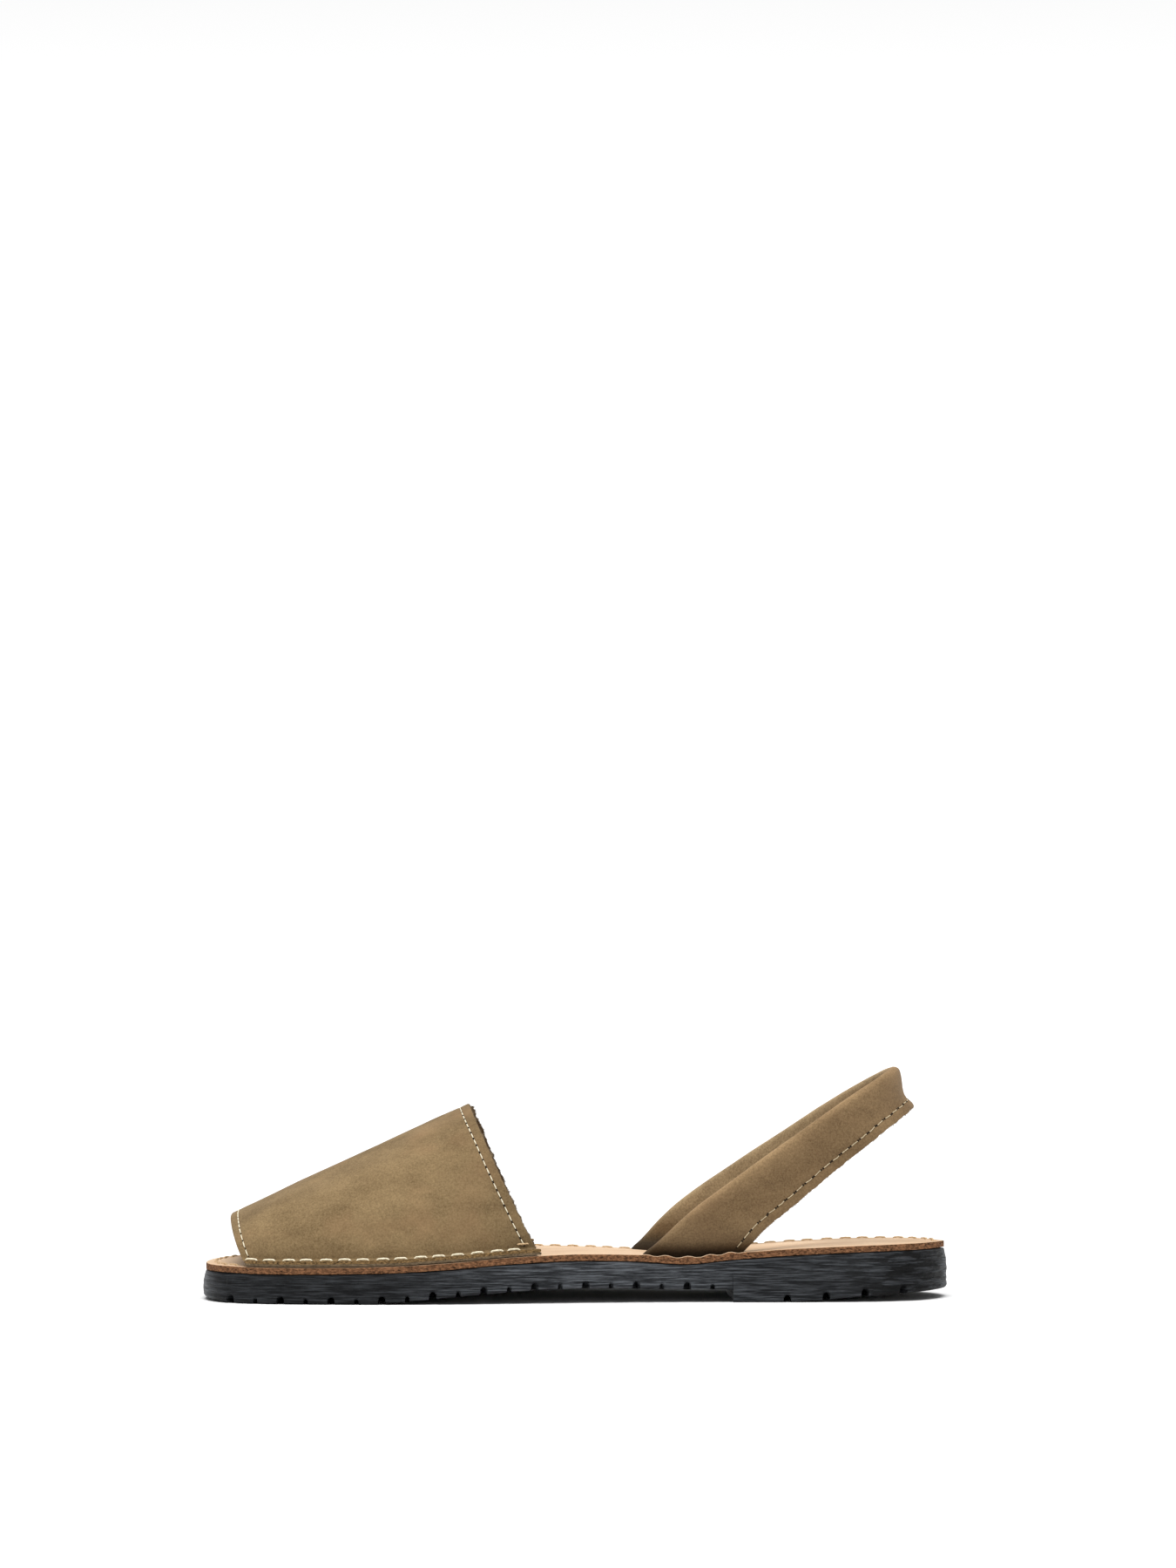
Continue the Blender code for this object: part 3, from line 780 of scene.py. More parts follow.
def rubber_look():
    """Black rubber whose wall is abraded in fine level lines, and in coarse wavy ones at the heel's back.
    The front is darker, and both tips are painted pale: a painted rim reflection."""
    material, tree, shader = new_look("rubber", 0.45, 0.10)
    lines = grain(tree, 0.27 * MM, 4.0, (36, 36, 1), 0.6)
    scuffs = grain(tree, 0.8 * MM, 4.0, (14, 14, 0.8), 0.7)
    level = math_node(tree, "MULTIPLY", lines, scuffs)
    colour = blend(tree, spread(tree, level, 0.21, 0.35), (0.012, 0.0132, 0.0152), (0.100, 0.108, 0.119))
    waves = grain(tree, 1.5 * MM, 3.0, (6, 6, 1))
    behind = spread(tree, place_on(tree, "X"), 0.33 * LENGTH, 0.42 * LENGTH)
    share = math_node(tree, "MULTIPLY", behind, spread(tree, waves, 0.53, 0.47))
    colour = blend(tree, share, colour, (0.008, 0.0085, 0.009))
    colour = tint(tree, colour, "X", -0.05 * LENGTH, -0.25 * LENGTH, (0.32,) * 3)
    colour = tint(tree, colour, "X", 0.16 * LENGTH, 0.24 * LENGTH, (0.55,) * 3)
    colour = tint(tree, colour, "X", 0.38 * LENGTH, 0.46 * LENGTH, (0.75,) * 3)
    # Painted reflection: both tips are made paler, standing in for the rim light they catch.
    colour = tint(tree, colour, "X", -0.480 * LENGTH, -0.494 * LENGTH, (3.5,) * 3)
    colour = tint(tree, colour, "X", 0.488 * LENGTH, 0.496 * LENGTH, (3.0,) * 3)
    tree.links.new(colour, shader.inputs["Base Color"])
    tree.links.new(spread(tree, scuffs, -0.5, 1.6), shader.inputs["Roughness"])
    relief = math_node(tree, "ADD", lines, math_node(tree, "MULTIPLY", scuffs, 0.8))
    deep = math_node(tree, "MULTIPLY", math_node(tree, "MULTIPLY", behind, waves), 5.0)
    set_bump(tree, shader, math_node(tree, "ADD", relief, deep), 0.28 * MM)
    return material


def thread_look(name, dark, light):
    """Waxed thread with fine fibres."""
    material, tree, shader = new_look(name, 0.6, 0.3, 0.1)
    fibres = grain(tree, 0.22 * MM, 3.0, (2.5, 1, 1))
    colour = blend(tree, spread(tree, fibres, 0.3, 0.65), dark, light)
    tree.links.new(colour, shader.inputs["Base Color"])
    set_bump(tree, shader, fibres, 0.06 * MM)
    return material


# Painted shade on the vamp: darker towards the flange's base, where the crease between wall and flange lies in
# shade, and darker over the back part, whose faces turn from the light.
VAMP_PAINTED_SHADE = [("Z", 13 * MM, 10 * MM, (0.5,) * 3), ("X", -50 * MM, -5 * MM, (0.70, 0.69, 0.68))]
NUBUCK = nubuck_look("nubuck", (0.122, 0.079, 0.036), (0.258, 0.178, 0.088), (0.262, 0.160, 0.080), VAMP_PAINTED_SHADE)
# Painted shade and light on the strap: much darker towards the insole, where the strap curls under into shadow, and
# paler on the outer arm, whose inner face catches the light.
STRAP_PAINTED_LIGHT = [
    ("Z", 30 * MM, 15 * MM, (0.37, 0.35, 0.34)),
    ("Z", 20 * MM, 16 * MM, (0.30,) * 3),
    ("Y", -5 * MM, 12 * MM, (1.30, 1.42, 1.54)),
]
# A darker copy of the vamp's nubuck, as painted shade for the strap's upright faces, which get less light; it also
# carries the strap's painted shade and light bands and its painted fold highlight.
STRAP_NUBUCK_PAINTED_LIGHT = nubuck_look(
    "strap_nubuck", (0.112, 0.069, 0.033), (0.224, 0.146, 0.073), (0.210, 0.130, 0.066), STRAP_PAINTED_LIGHT
)
NUBUCK_RAW = raw_look("nubuck_raw", (0.026, 0.015, 0.006), (0.31, 0.190, 0.080), 0.5 * MM)
LINING = raw_look("lining", (0.065, 0.045, 0.026), (0.19, 0.135, 0.08), 0.6 * MM)
# Painted shade: near-black colour standing in for the shade inside the needle holes.
HOLE_SHADE = raw_look("needle_hole_shade", (0.012, 0.009, 0.006), (0.03, 0.02, 0.012))
TAN = insole_look()
TAN_RAW = raw_look("tan_raw", (0.024, 0.011, 0.005), (0.30, 0.142, 0.068), 0.6 * MM)
RUBBER = rubber_look()
THREAD = thread_look("thread", (0.56, 0.48, 0.33), (0.86, 0.80, 0.62))
STRAP_CREAM = thread_look("strap_thread", (0.36, 0.29, 0.17), (0.62, 0.52, 0.35))
TAN_THREAD = thread_look("tan_thread", (0.33, 0.21, 0.10), (0.62, 0.44, 0.25))


# Outsole


def groove_places():
    """Every groove of the tread: its place in metres from the toe, half width and depth."""
    breast = BREAST * LENGTH
    found = []
    for s in places_between(GROOVE_FIRST, breast - GROOVE_END, GROOVE_PITCH):
        found.append((s, GROOVE_HALF, GROOVE_DEPTH))
    for s in places_between(GROOVE_FIRST + GROOVE_PITCH / 2, breast - GROOVE_END, GROOVE_PITCH):
        found.append((s, FINE_GROOVE_HALF, FINE_GROOVE_DEPTH))
    for s in places_between(breast + HEEL_GROOVE_FIRST, LENGTH - GROOVE_END, HEEL_GROOVE_PITCH):
        found.append((s, GROOVE_HALF, GROOVE_DEPTH))
    return found


GROOVES = groove_places()


def groove_lift(along):
    """How much a groove raises the underside at a share of the length."""
    s = along * LENGTH
    for place, half, depth in GROOVES:
        if abs(s - place) < half:
            return depth * math.sqrt(1 - ((s - place) / half) ** 2)
    return 0.0


def outsole_stations():
    """Shares of the length, close together at the heel's front face and at the grooves."""
    half_run = BREAST_RUN / LENGTH / 2
    found = {along_of(math.pi * i / OUTSOLE_STEPS) for i in range(OUTSOLE_STEPS + 1)}
    found |= {BREAST - half_run, BREAST, BREAST + half_run}
    for place, half, depth in GROOVES:
        for share in (-1.001, -0.98, -0.88, -0.66, -0.35, 0.0, 0.35, 0.66, 0.88, 0.98, 1.001):
            found.add((place + half * share) / LENGTH)
    return sorted(found)


def make_outsole():
    plan = Outline(outsole_stations())
    alongs = np.array([along for along, side in plan.sides])
    recess = np.array([waist_recess(along) for along in alongs])
    wear_and_fold_highlight = 0.05 * MM + 0.20 * MM * np.clip((alongs - 0.86) / 0.10, 0, 1) + 0.08 * MM * (alongs < 0.05)

    lifts = np.array([groove_lift(along) for along in alongs])

    def lower(ring, share=0.0):
        """Raises a ring at the grooves, in full at the foot of the wall and not at all at its top."""
        ring[:, 2] += lifts * (1 - share)
        return ring

    def wall(share):
        """A ring of the wall at a share of the way up from its rounded foot to its top."""
        swell = max(0.0, (share - BELLY_SHARE) / (1 - BELLY_SHARE))
        inset = recess * (1 - swell) + SIDE_DRAFT * swell**1.4

        def height(along, y):
            foot = sole_under(along, y) + EDGE_ROUND
            return foot + (sole_top(along, y) - TOP_ROUND - foot) * share

        ring = lower(plan.ring(inset, height), share)
        lines = ripple(ring, (24 * MM, 24 * MM, 1.5 * MM)) + 0.6 * ripple(ring, (7 * MM, 7 * MM, 0.8 * MM), 7.3)
        return lower(plan.ring(inset - wear_and_fold_highlight * lines * min(1.0, 4 * (1 - share)), height), share)

    rings = [plan.ring(SIDE_DRAFT + TOP_ROUND, sole_top)]
    rings += [wall(1 - k / WALL_STEPS) for k in range(WALL_STEPS + 1)]
    for k in range(1, 6):
        angle = math.pi / 2 * k / 5
        drop = EDGE_ROUND * (1 - math.sin(angle))
        inset = recess + EDGE_ROUND * (1 - math.cos(angle))
        rings.append(lower(plan.ring(inset, lambda along, y: sole_under(along, y) + drop)))
    def bead(along, y):
        return sole_under(along, y) - TREAD_BEAD * smooth_step(under_lift(along), 1.5 * MM, 3.0 * MM)

    rings.append(lower(plan.ring(GROOVE_REACH, sole_under)))
    rings.append(plan.ring(GROOVE_REACH + 0.1 * MM, sole_under))
    rings.append(plan.ring(GROOVE_REACH + 1.2 * MM, bead))
    rings.append(plan.ring(GROOVE_REACH + 4 * MM, sole_under))
    shell = Shell()
    grid = shell.add(rings)
    shell.skin(grid, closed=True)
    cap(shell, grid[0], alongs, 6, sole_top, 0)
    cap(shell, grid[-1], alongs, 4, sole_under, 0)
    piece = make_piece("outsole_body", shell, [RUBBER], "outsole", 40)
    cut_slots(piece)


def slot_line(side):
    """Plan points of a strap slot's two ends, front then back, and their shares of the length."""
    start = SLOT_START - (OUTER_SLOT_LEAD / LENGTH if side == OUTER else 0.0)
    ends = []
    for along in (start, start + SLOT_LENGTH / LENGTH):
        y = outline(along, side, SIDE_DRAFT + SLOT_INSET).y
        ends.append((along, Vector((x_of(along), y))))
    return ends


def slot_cutter(side):
    """A box along the slot, through the insole and into the rubber below."""
    (front, start), (back, end) = slot_line(side)
    line = (end - start).normalized()
    normal = Vector((-line.y, line.x))
    half = STRAP_THICK / 2 + SLOT_PLAY
    bm = bmesh.new()
    bmesh.ops.create_cube(bm, size=2)
    for vert in bm.verts:
        along, plan = (front, start) if vert.co.x < 0 else (back, end)
        plan = plan + line * SLOT_PLAY * vert.co.x + normal * half * vert.co.y
        if vert.co.z > 0:
            height = insole_top(along, plan.y) + SLOT_OVERRUN
        else:
            height = sole_top(along, plan.y) - POCKET_DEPTH
        vert.co = (plan.x, plan.y, height)
    mesh = bpy.data.meshes.new("slot")
    bm.to_mesh(mesh)
    bm.free()
    cutter = bpy.data.objects.new("slot", mesh)
    bpy.context.scene.collection.objects.link(cutter)
    return cutter


def cut_slots(piece):
    """Cuts both strap slots out of a piece and keeps the result as its mesh."""
    cutters = [slot_cutter(INNER), slot_cutter(OUTER)]
    for cutter in cutters:
        modifier = piece.modifiers.new("slot", "BOOLEAN")
        modifier.operation = "DIFFERENCE"
        modifier.object = cutter
    depsgraph = bpy.context.evaluated_depsgraph_get()
    mesh = bpy.data.meshes.new_from_object(piece.evaluated_get(depsgraph))
    piece.modifiers.clear()
    piece.data = mesh
    for cutter in cutters:
        bpy.data.objects.remove(cutter)


# Insole


def make_insole():
    alongs = [along_of(math.pi * i / INSOLE_STEPS) for i in range(INSOLE_STEPS + 1)]
    plan = Outline(alongs)

    def level(lift):
        return lambda along, y: sole_top(along, y) + SEAT_GAP + lift

    rings = [plan.ring(SIDE_DRAFT, level(0.0))]
    edge_height = INSOLE_THICK - INSOLE_ROUND
    for k in range(1, 8):
        lift = edge_height * k / 7
        ring = plan.ring(SIDE_DRAFT, level(lift))
        rough = 0.07 * MM * ripple(ring, (1.6 * MM, 1.6 * MM, 0.8 * MM))
        rings.append(plan.ring(SIDE_DRAFT + np.clip(rough, 0, None), level(lift)))
    for k in range(1, 5):
        angle = math.pi / 2 * k / 4
        inset = SIDE_DRAFT + INSOLE_ROUND * (1 - math.cos(angle))
        rings.append(plan.ring(inset, level(edge_height + INSOLE_ROUND * math.sin(angle))))
    lip = len(rings) - 3
    for inset in (0.8, 1.3, 1.8, 2.3, 2.8, 3.2, 3.6, 4.1, 4.7, 5.5, 6.5):
        rings.append(plan.ring(SIDE_DRAFT + inset * MM, level(INSOLE_THICK)))
    rings = np.array(rings)

    line = plan.ring(SIDE_DRAFT + INSOLE_SEAM_INSET, level(INSOLE_THICK))
    line = np.concatenate([line, line[:1]])
    seam = Seam(line, np.tile((0.0, 0.0, 1.0), (len(line), 1)))
    stitches = seam.stitches(THICK_PITCH, THICK_GAP, 2 * MM, seam.reach[-1] - 2 * MM, 0.3 * MM, 11)
    bare = [stitch for stitch in stitches if not under_vamp(seam.at(stitch[0])[0])]
    sunk = [stitch for stitch in bare if is_sunk(seam.at(stitch[0])[0])]
    proud = [stitch for stitch in bare if stitch not in sunk]
    top = rings[lip:]
    up = np.zeros_like(top)
    up[..., 2] = 1.0
    far = [place for place in line_of(seam, stitches, 0.5 * MM) if not is_sunk(place)]
    near = [place for place in line_of(seam, stitches, 0.5 * MM) if is_sunk(place)]
    top = press(top, up, far, 0.18 * MM, 1.0 * MM)
    top = press(top, up, near, 1.05 * SUNK_DEPTH, 0.75 * MM)
    top = press(top, up, holes_of(seam, proud), 0.5 * MM, 0.8 * MM)
    top = press(top, up, middles_of(seam, proud), -0.35 * MM, 1.5 * MM)
    top[..., 2] += 0.05 * MM * ripple(top, (9 * MM, 7 * MM, 9 * MM)) + slot_puckers(top)
    rings[lip:] = top

    shell = Shell()
    grid = shell.add(rings)
    shell.skin(grid[: lip + 1], 1, closed=True)
    shell.skin(grid[lip:], 0, closed=True)
    cap(shell, grid[-1], alongs, 16, insole_top, 0)
    cap(shell, grid[0], alongs, 4, level(0.0), 1)
    piece = make_piece("insole_sheet", shell, [TAN, TAN_RAW], "insole")
    cut_slots(piece)

    threads = Shell()
    sew(threads, seam.lowered(PROUD_DEPTH), proud, THICK_THREAD, 3)
    sew(threads, seam.lowered(SUNK_DEPTH), sunk, THICK_THREAD, 3)
    make_piece("insole_stitches", threads, [TAN_THREAD], "insole")


def is_sunk(point):
    """True for the inner side behind the vamp, where the insole's seam lies in a channel."""
    return point[1] < 0 and point[0] > x_of(VAMP_ROWS[-1].inner)


def slot_puckers(points):
    """Small waves of the strip of leather between each strap slot and the insole's edge."""
    lift = np.zeros(points.shape[:-1])
    for side in (INNER, OUTER):
        (front, start), (back, end) = slot_line(side)
        x, y = points[..., 0], points[..., 1]
        middle = start.y + (end.y - start.y) * (x - start.x) / (end.x - start.x)
        outward = (y - middle) * side
        strip = smooth_step(outward, STRAP_THICK / 2, STRAP_THICK / 2 + MM)
        ends = smooth_step(x, start.x - 2 * MM, start.x + 4 * MM) * smooth_step(-x, -end.x - 3 * MM, 3 * MM - end.x)
        wave = np.sin((x - start.x) / (PUCKER_PITCH / (2 * math.pi)) + 1.2 * np.sin(x / (11 * MM)))
        lift += PUCKER_RISE * strip * ends * (0.35 + wave)
    return lift


def under_vamp(point):
    """True where the vamp covers the insole's seam."""
    along = point[0] / LENGTH + 0.5
    side = INNER if point[1] < 0 else OUTER
    start, end = VAMP_ROWS[0], VAMP_ROWS[-1]
    front, back = (start.inner, end.inner) if side == INNER else (start.outer, end.outer)
    margin = 3 * MM / LENGTH
    return front - margin < along < back + margin


# Vamp


def on_insole(along, side, inset):
    """A point that rests on the insole, inset from the insole's edge."""
    point = outline(along, side, SIDE_DRAFT + inset)
    return Vector((point.x, point.y, insole_top(along, point.y) + SEAT_GAP))


def vamp_arch(place):
    """The inner face of the vamp's arch at a share of the way from its front edge to its back edge."""
    row = read_rows(VAMP_ROWS, place)
    feet = [(row.inner, INNER), (row.outer, OUTER)]
    start, end = (on_insole(along, side, FLANGE) for along, side in feet)
    crown = Vector((x_of(row.ridge), 0, row.rise * INSTEP_HEIGHT - VAMP_WALL))
    rise = crown.z - (start.z + end.z) / 2
    first = math.asin(min(1.0, FLANGE_BEND / rise) ** (row.square / 2))
    arch = []
    for j in range(ARCH_STEPS + 1):
        angle = first + (math.pi - 2 * first) * j / ARCH_STEPS
        swing = -math.cos(angle)
        across = math.copysign(abs(swing) ** (2 / row.square), swing)
        lift = math.sin(angle) ** (2 / row.square)
        point = start.lerp(end, (across + 1) / 2)
        foot = start if across < 0 else end
        point.x = foot.x + (crown.x - foot.x) * lift**row.sweep
        point.z += rise * lift
        arch.append(point)
    return np.array(arch)


def clip_foot(line, height):
    """The line from where it rises past a height."""
    k = int(np.argmax(line[:, 2] > height))
    if k == 0:
        return line
    t = (height - line[k - 1, 2]) / (line[k, 2] - line[k - 1, 2])
    return np.concatenate([[line[k - 1] + (line[k] - line[k - 1]) * t], line[k:]])


def vamp_half(along, side, line, lift, bend):
    """One side's flange and bend for a face of the vamp, and the rest of its arch."""
    rim_point = np.array(on_insole(along, side, 0.0))
    rim_point[2] += lift
    level = on_insole(along, side, FLANGE).z + lift
    line = clip_foot(line, level + bend)
    corner = np.array((line[0][0], line[0][1], level))
    flange_end = corner + unit(rim_point - corner) * bend
    flange_end[2] = level
    shares = np.linspace(0, 1, FLANGE_STEPS)[:, None]
    flange = rim_point + (flange_end - rim_point) * shares
    turns = []
    for k in range(1, BEND_STEPS):
        t = k / BEND_STEPS
        turns.append(flange_end * (1 - t) ** 2 + corner * 2 * t * (1 - t) + line[0] * t * t)
    return np.concatenate([flange, turns]), line


def vamp_row(place, arch, lift, bend):
    """One section of a face of the vamp: flange, bend, arch, bend and flange."""
    row = read_rows(VAMP_ROWS, place)
    inner, line = vamp_half(row.inner, INNER, arch, lift, bend)
    outer, line = vamp_half(row.outer, OUTER, line[::-1], lift, bend)
    return np.concatenate([inner, resample(line[::-1], ARCH_STEPS + 1), outer[::-1]])


def vamp_places():
    """Shares from the front edge to the back edge, close together along both edges and seams."""
    near = (0.0, 0.0008, 0.0025, 0.005, 0.009, 0.014, 0.0185, 0.0215, 0.024, 0.0265, 0.029, 0.032, 0.036, 0.042)
    middle = np.linspace(0.05, 0.95, 91)
    return sorted([*near, *middle, *(1 - place for place in near)])


def distance_from(grid, backwards=False):
    """Length along each column from the first row, or from the last row."""
    rows = grid[::-1] if backwards else grid
    steps = np.linalg.norm(np.diff(rows, axis=0), axis=2)
    reach = np.concatenate([np.zeros((1, steps.shape[1])), np.cumsum(steps, axis=0)])
    return reach[::-1] if backwards else reach


def seam_along_edge(grid, normals, margin, backwards=False):
    """A seam at a distance from the first or last row of a grid."""
    rows, ups = (grid[::-1], normals[::-1]) if backwards else (grid, normals)
    reach = distance_from(rows)
    points, directions = [], []
    for j in range(grid.shape[1]):
        points.append([np.interp(margin, reach[:, j], rows[:, j, k]) for k in range(3)])
        directions.append([np.interp(margin, reach[:, j], ups[:, j, k]) for k in range(3)])
    return Seam(points, directions)


def pinch(lower, upper, distance):
    """Rounds a sheet's rim by bringing its two faces together near its edge."""
    share = np.clip(1 - distance / RIM_ROUND, 0, 1)
    close = (0.85 * (1 - np.sqrt(1 - share**2)))[..., None]
    middle = (lower + upper) / 2
    return lower + (middle - lower) * close, upper + (middle - upper) * close


def close_sheet(shell, lower, upper, face_kind, rim_kind):
    """A closed sheet between two grids of the same shape."""
    low, high = shell.add(lower), shell.add(upper)
    shell.skin(high, face_kind)
    shell.skin(low[::-1], rim_kind)
    for first, second in ((low[0], high[0]), (high[-1], low[-1])):
        shell.skin(np.stack([first, second]), rim_kind)
    for first, second in ((high[:, 0], low[:, 0]), (low[:, -1], high[:, -1])):
        shell.skin(np.stack([first, second]), rim_kind)


def crease_line(arch, crease):
    """Points of the vamp's outer face along one of its creases."""
    rows, columns = arch.shape[0] - 1, arch.shape[1] - 1
    places = np.array(vamp_places())
    points = []
    for t in np.linspace(0, 1, 25):
        place = crease.place + (crease.end_place - crease.place) * t
        across = crease.across + (crease.end_across - crease.across) * t + crease.bow * math.sin(math.pi * t)
        row = min(rows, int(np.searchsorted(places, place)))
        points.append(arch[row, round(columns * across)])
    return points


def make_vamp():
    places = vamp_places()
    arches = np.array([vamp_arch(place) for place in places])
    outsides = arches + normals_of(arches) * VAMP_WALL
    under = np.array([vamp_row(p, arch, 0.0, FLANGE_BEND * 0.8) for p, arch in zip(places, arches)])
    over = np.array([vamp_row(p, arch, VAMP_WALL, CREASE) for p, arch in zip(places, outsides)])
    normals = normals_of(over)
    front, back = distance_from(over), distance_from(over, backwards=True)

    flange = slice(FLANGE_STEPS + BEND_STEPS - 1, -(FLANGE_STEPS + BEND_STEPS - 1))
    relief = 0.12 * MM * ripple(over, (22 * MM, 14 * MM, 14 * MM)) + 0.04 * MM * ripple(over, (5 * MM,) * 3, 3.1)
    arch = over[:, flange]
    over = over + normals * relief[..., None]
    for crease in VAMP_CREASES:
        over = press(over, normals, crease_line(arch, crease), crease.depth, crease.width)

    arch, arch_ups = over[:, flange], normals[:, flange]
    front_seam = seam_along_edge(arch, arch_ups, FRONT_MARGIN)
    back_seam = seam_along_edge(arch, arch_ups, BACK_MARGIN, backwards=True)
    fine = []
    for seam, seed in ((front_seam, 3), (back_seam, 5)):
        reach = seam.reach[-1]
        fine.append((seam, seam.stitches(FINE_PITCH, FINE_GAP, 0.4 * MM, reach, 0.12 * MM, seed)))
    thick = []
    column = FLANGE_SEAM_SHARE * (FLANGE_STEPS - 1)
    low, part = int(column), column - int(column)
    for first, second, seed in ((low, low + 1, 7), (-1 - low, -2 - low, 9)):
        line = over[:, first] * (1 - part) + over[:, second] * part
        seam = Seam(line, normals[:, first])
        reach = seam.reach[-1]
        thick.append((seam, seam.stitches(THICK_PITCH, THICK_GAP, 1.2 * MM, reach, 0.45 * MM, seed)))

    for seam, stitches in fine:
        over = press(over, normals, line_of(seam, stitches, 0.4 * MM), 0.16 * MM, 0.55 * MM)
        over = press(over, normals, holes_of(seam, stitches), 0.16 * MM, 0.45 * MM)
    for seam, stitches in thick:
        over = press(over, normals, line_of(seam, stitches, 0.5 * MM), 0.25 * MM, 0.9 * MM)
        over = press(over, normals, gaps_of(seam, stitches), -0.45 * MM, 0.8 * MM)
        over = press(over, normals, holes_of(seam, stitches), 0.35 * MM, 0.6 * MM)

    between = under + (over - under) * LINING_SHARE
    nubuck_low, nubuck_high = pinch(between, over, np.minimum(front, back))
    shell = Shell()
    close_sheet(shell, nubuck_low, nubuck_high, 0, 1)
    make_piece("vamp_nubuck", shell, [NUBUCK, NUBUCK_RAW], "vamp")

    lining_low, lining_high = extend_lining(under, between)
    shell = Shell()
    close_sheet(shell, lining_low, lining_high, 0, 0)
    make_piece("vamp_lining", shell, [LINING], "vamp")

    threads, dents = Shell(), Shell()
    for seam, stitches in fine:
        sew(threads, seam.lowered(0.16 * MM), stitches, FINE_THREAD, 2)
        dots(dents, seam.lowered(0.14 * MM), stitches, FRONT_HOLE if seam is front_seam else BACK_HOLE)
    knot = Seam(arch[:, 1], arch_ups[:, 1])
    sew(threads, knot, [(knot.reach[-1] - 5.5 * MM, knot.reach[-1] - 1.5 * MM)], KNOT_THREAD, 3, 1)
    make_piece("vamp_seams", threads, [THREAD, TAN_THREAD], "vamp")
    make_piece("vamp_needle_holes", dents, [HOLE_SHADE], "vamp")
    threads = Shell()
    for seam, stitches in thick:
        sew(threads, seam.lowered(0.1 * MM), stitches, THICK_THREAD, 3)
    make_piece("flange_stitches", threads, [THREAD], "vamp")

    fuzz_edge("vamp_fuzz", lining_low[-1], lining_high[-1], lining_high[-1] - lining_high[-4], 1400, "vamp", 21)


def extend_lining(lower, upper):
    """The lining stands out past the nubuck along the back edge, torn unevenly."""
    heading = unit(upper[-1] - upper[-4])
    ragged = 0.6 * ripple(upper[-1], (7 * MM,) * 3, 5.5) + ripple(upper[-1], (1.7 * MM,) * 3, 1.5)
    reach = np.clip(0.25 * MM + 0.9 * MM * ragged, 0.02 * MM, 0.8 * MM)[:, None]
    flange = FLANGE_STEPS + BEND_STEPS
    reach[:flange] = 0.1 * MM
    reach[-flange:] = 0.1 * MM
    extra_low = [lower[-1] + heading * reach * share for share in (0.4, 0.75, 1.0)]
    extra_high = [upper[-1] + heading * reach * share for share in (0.4, 0.75, 1.0)]
    thin = (np.array(extra_high[-1]) - np.array(extra_low[-1])) * 0.3
    extra_low[-1] = extra_low[-1] + thin
    extra_high[-1] = extra_high[-1] - thin
    return np.concatenate([lower, extra_low]), np.concatenate([upper, extra_high])


def fuzz_edge(name, low, high, heading, count, node_name, seed):
    """Loose fibres along a raw edge that runs between two lines."""
    rng = random.Random(seed)
    flange = FLANGE_STEPS + BEND_STEPS
    roots, outwards, lengths = [], [], []
    heading = unit(heading)
    for k in range(count):
        j = rng.randrange(flange, len(low) - flange - 1)
        t = rng.random()
        at = rng.random()
        start = low[j] + (low[j + 1] - low[j]) * at
        end = high[j] + (high[j + 1] - high[j]) * at
        roots.append(start + (end - start) * t - heading[j] * 0.1 * MM)
        outwards.append(heading[j])
        lengths.append(rng.uniform(0.2, 0.9) * MM)
    shell = Shell()
    grow_fibres(shell, roots, outwards, lengths, 0.07 * MM, seed)
    make_piece(name, shell, [LINING], node_name)


# Slingback strap


def outer_bow(height):
    """A curve that is 0 at the insole and at the strap's top and reaches 1 a quarter of the way up."""
    return height * (1 - height) ** 3 * 256 / 27


def strap_edges(row, side):
    """The folded edge and the sewn edge of the strap for one row of its table."""
    (front, start), (back, end) = slot_line(side)
    axis = (sole_at(1.0).inner + sole_at(1.0).outer) / 2
    base = insole_top(front, start.y)
    x = x_of(row.along)
    if side == OUTER:
        x -= OUTER_SLOT_LEAD * (1 - row.height) + OUTER_BOW * outer_bow(row.height)
    fold_y = axis + (start.y - axis) * row.across
    sewn_y = axis + (end.y - axis) * row.across
    fold = Vector((x, fold_y, base + (STRAP_TOP - base) * row.height))
    turn = math.radians(row.turn)
    sewn = fold + Vector((math.cos(turn), 0, -math.sin(turn))) * STRAP_WIDTH * row.reach
    return fold, Vector((sewn.x, sewn_y, sewn.z))


def strap_foot(side, lift):
    """The strap's two edges where it stands in its slot, lift above the rubber's top."""
    return tuple(
        Vector((plan.x, plan.y, sole_top(along, plan.y) + lift)) for along, plan in slot_line(side)
    )


def smooth_through(points, count):
    """Points at even steps along a Catmull-Rom curve through the given pairs of points."""
    places = [0.0]
    for (fold_a, sewn_a), (fold_b, sewn_b) in zip(points, points[1:]):
        places.append(places[-1] + ((fold_b - fold_a).length + (sewn_b - sewn_a).length) / 2)

    def slope(values, i):
        low, high = max(0, i - 1), min(len(values) - 1, i + 1)
        return (values[high] - values[low]) / (places[high] - places[low])

    def at(values, place):
        i = min(max(k for k in range(len(places)) if places[k] <= place), len(places) - 2)
        step = places[i + 1] - places[i]
        t = (place - places[i]) / step
        return (
            values[i] * (1 + 2 * t) * (1 - t) ** 2
            + slope(values, i) * step * t * (1 - t) ** 2
            + values[i + 1] * t * t * (3 - 2 * t)
            - slope(values, i + 1) * step * t * t * (1 - t)
        )

    folds, sewns = zip(*points)
    steps = [places[-1] * k / count for k in range(count + 1)]
    return [(at(folds, place), at(sewns, place)) for place in steps]


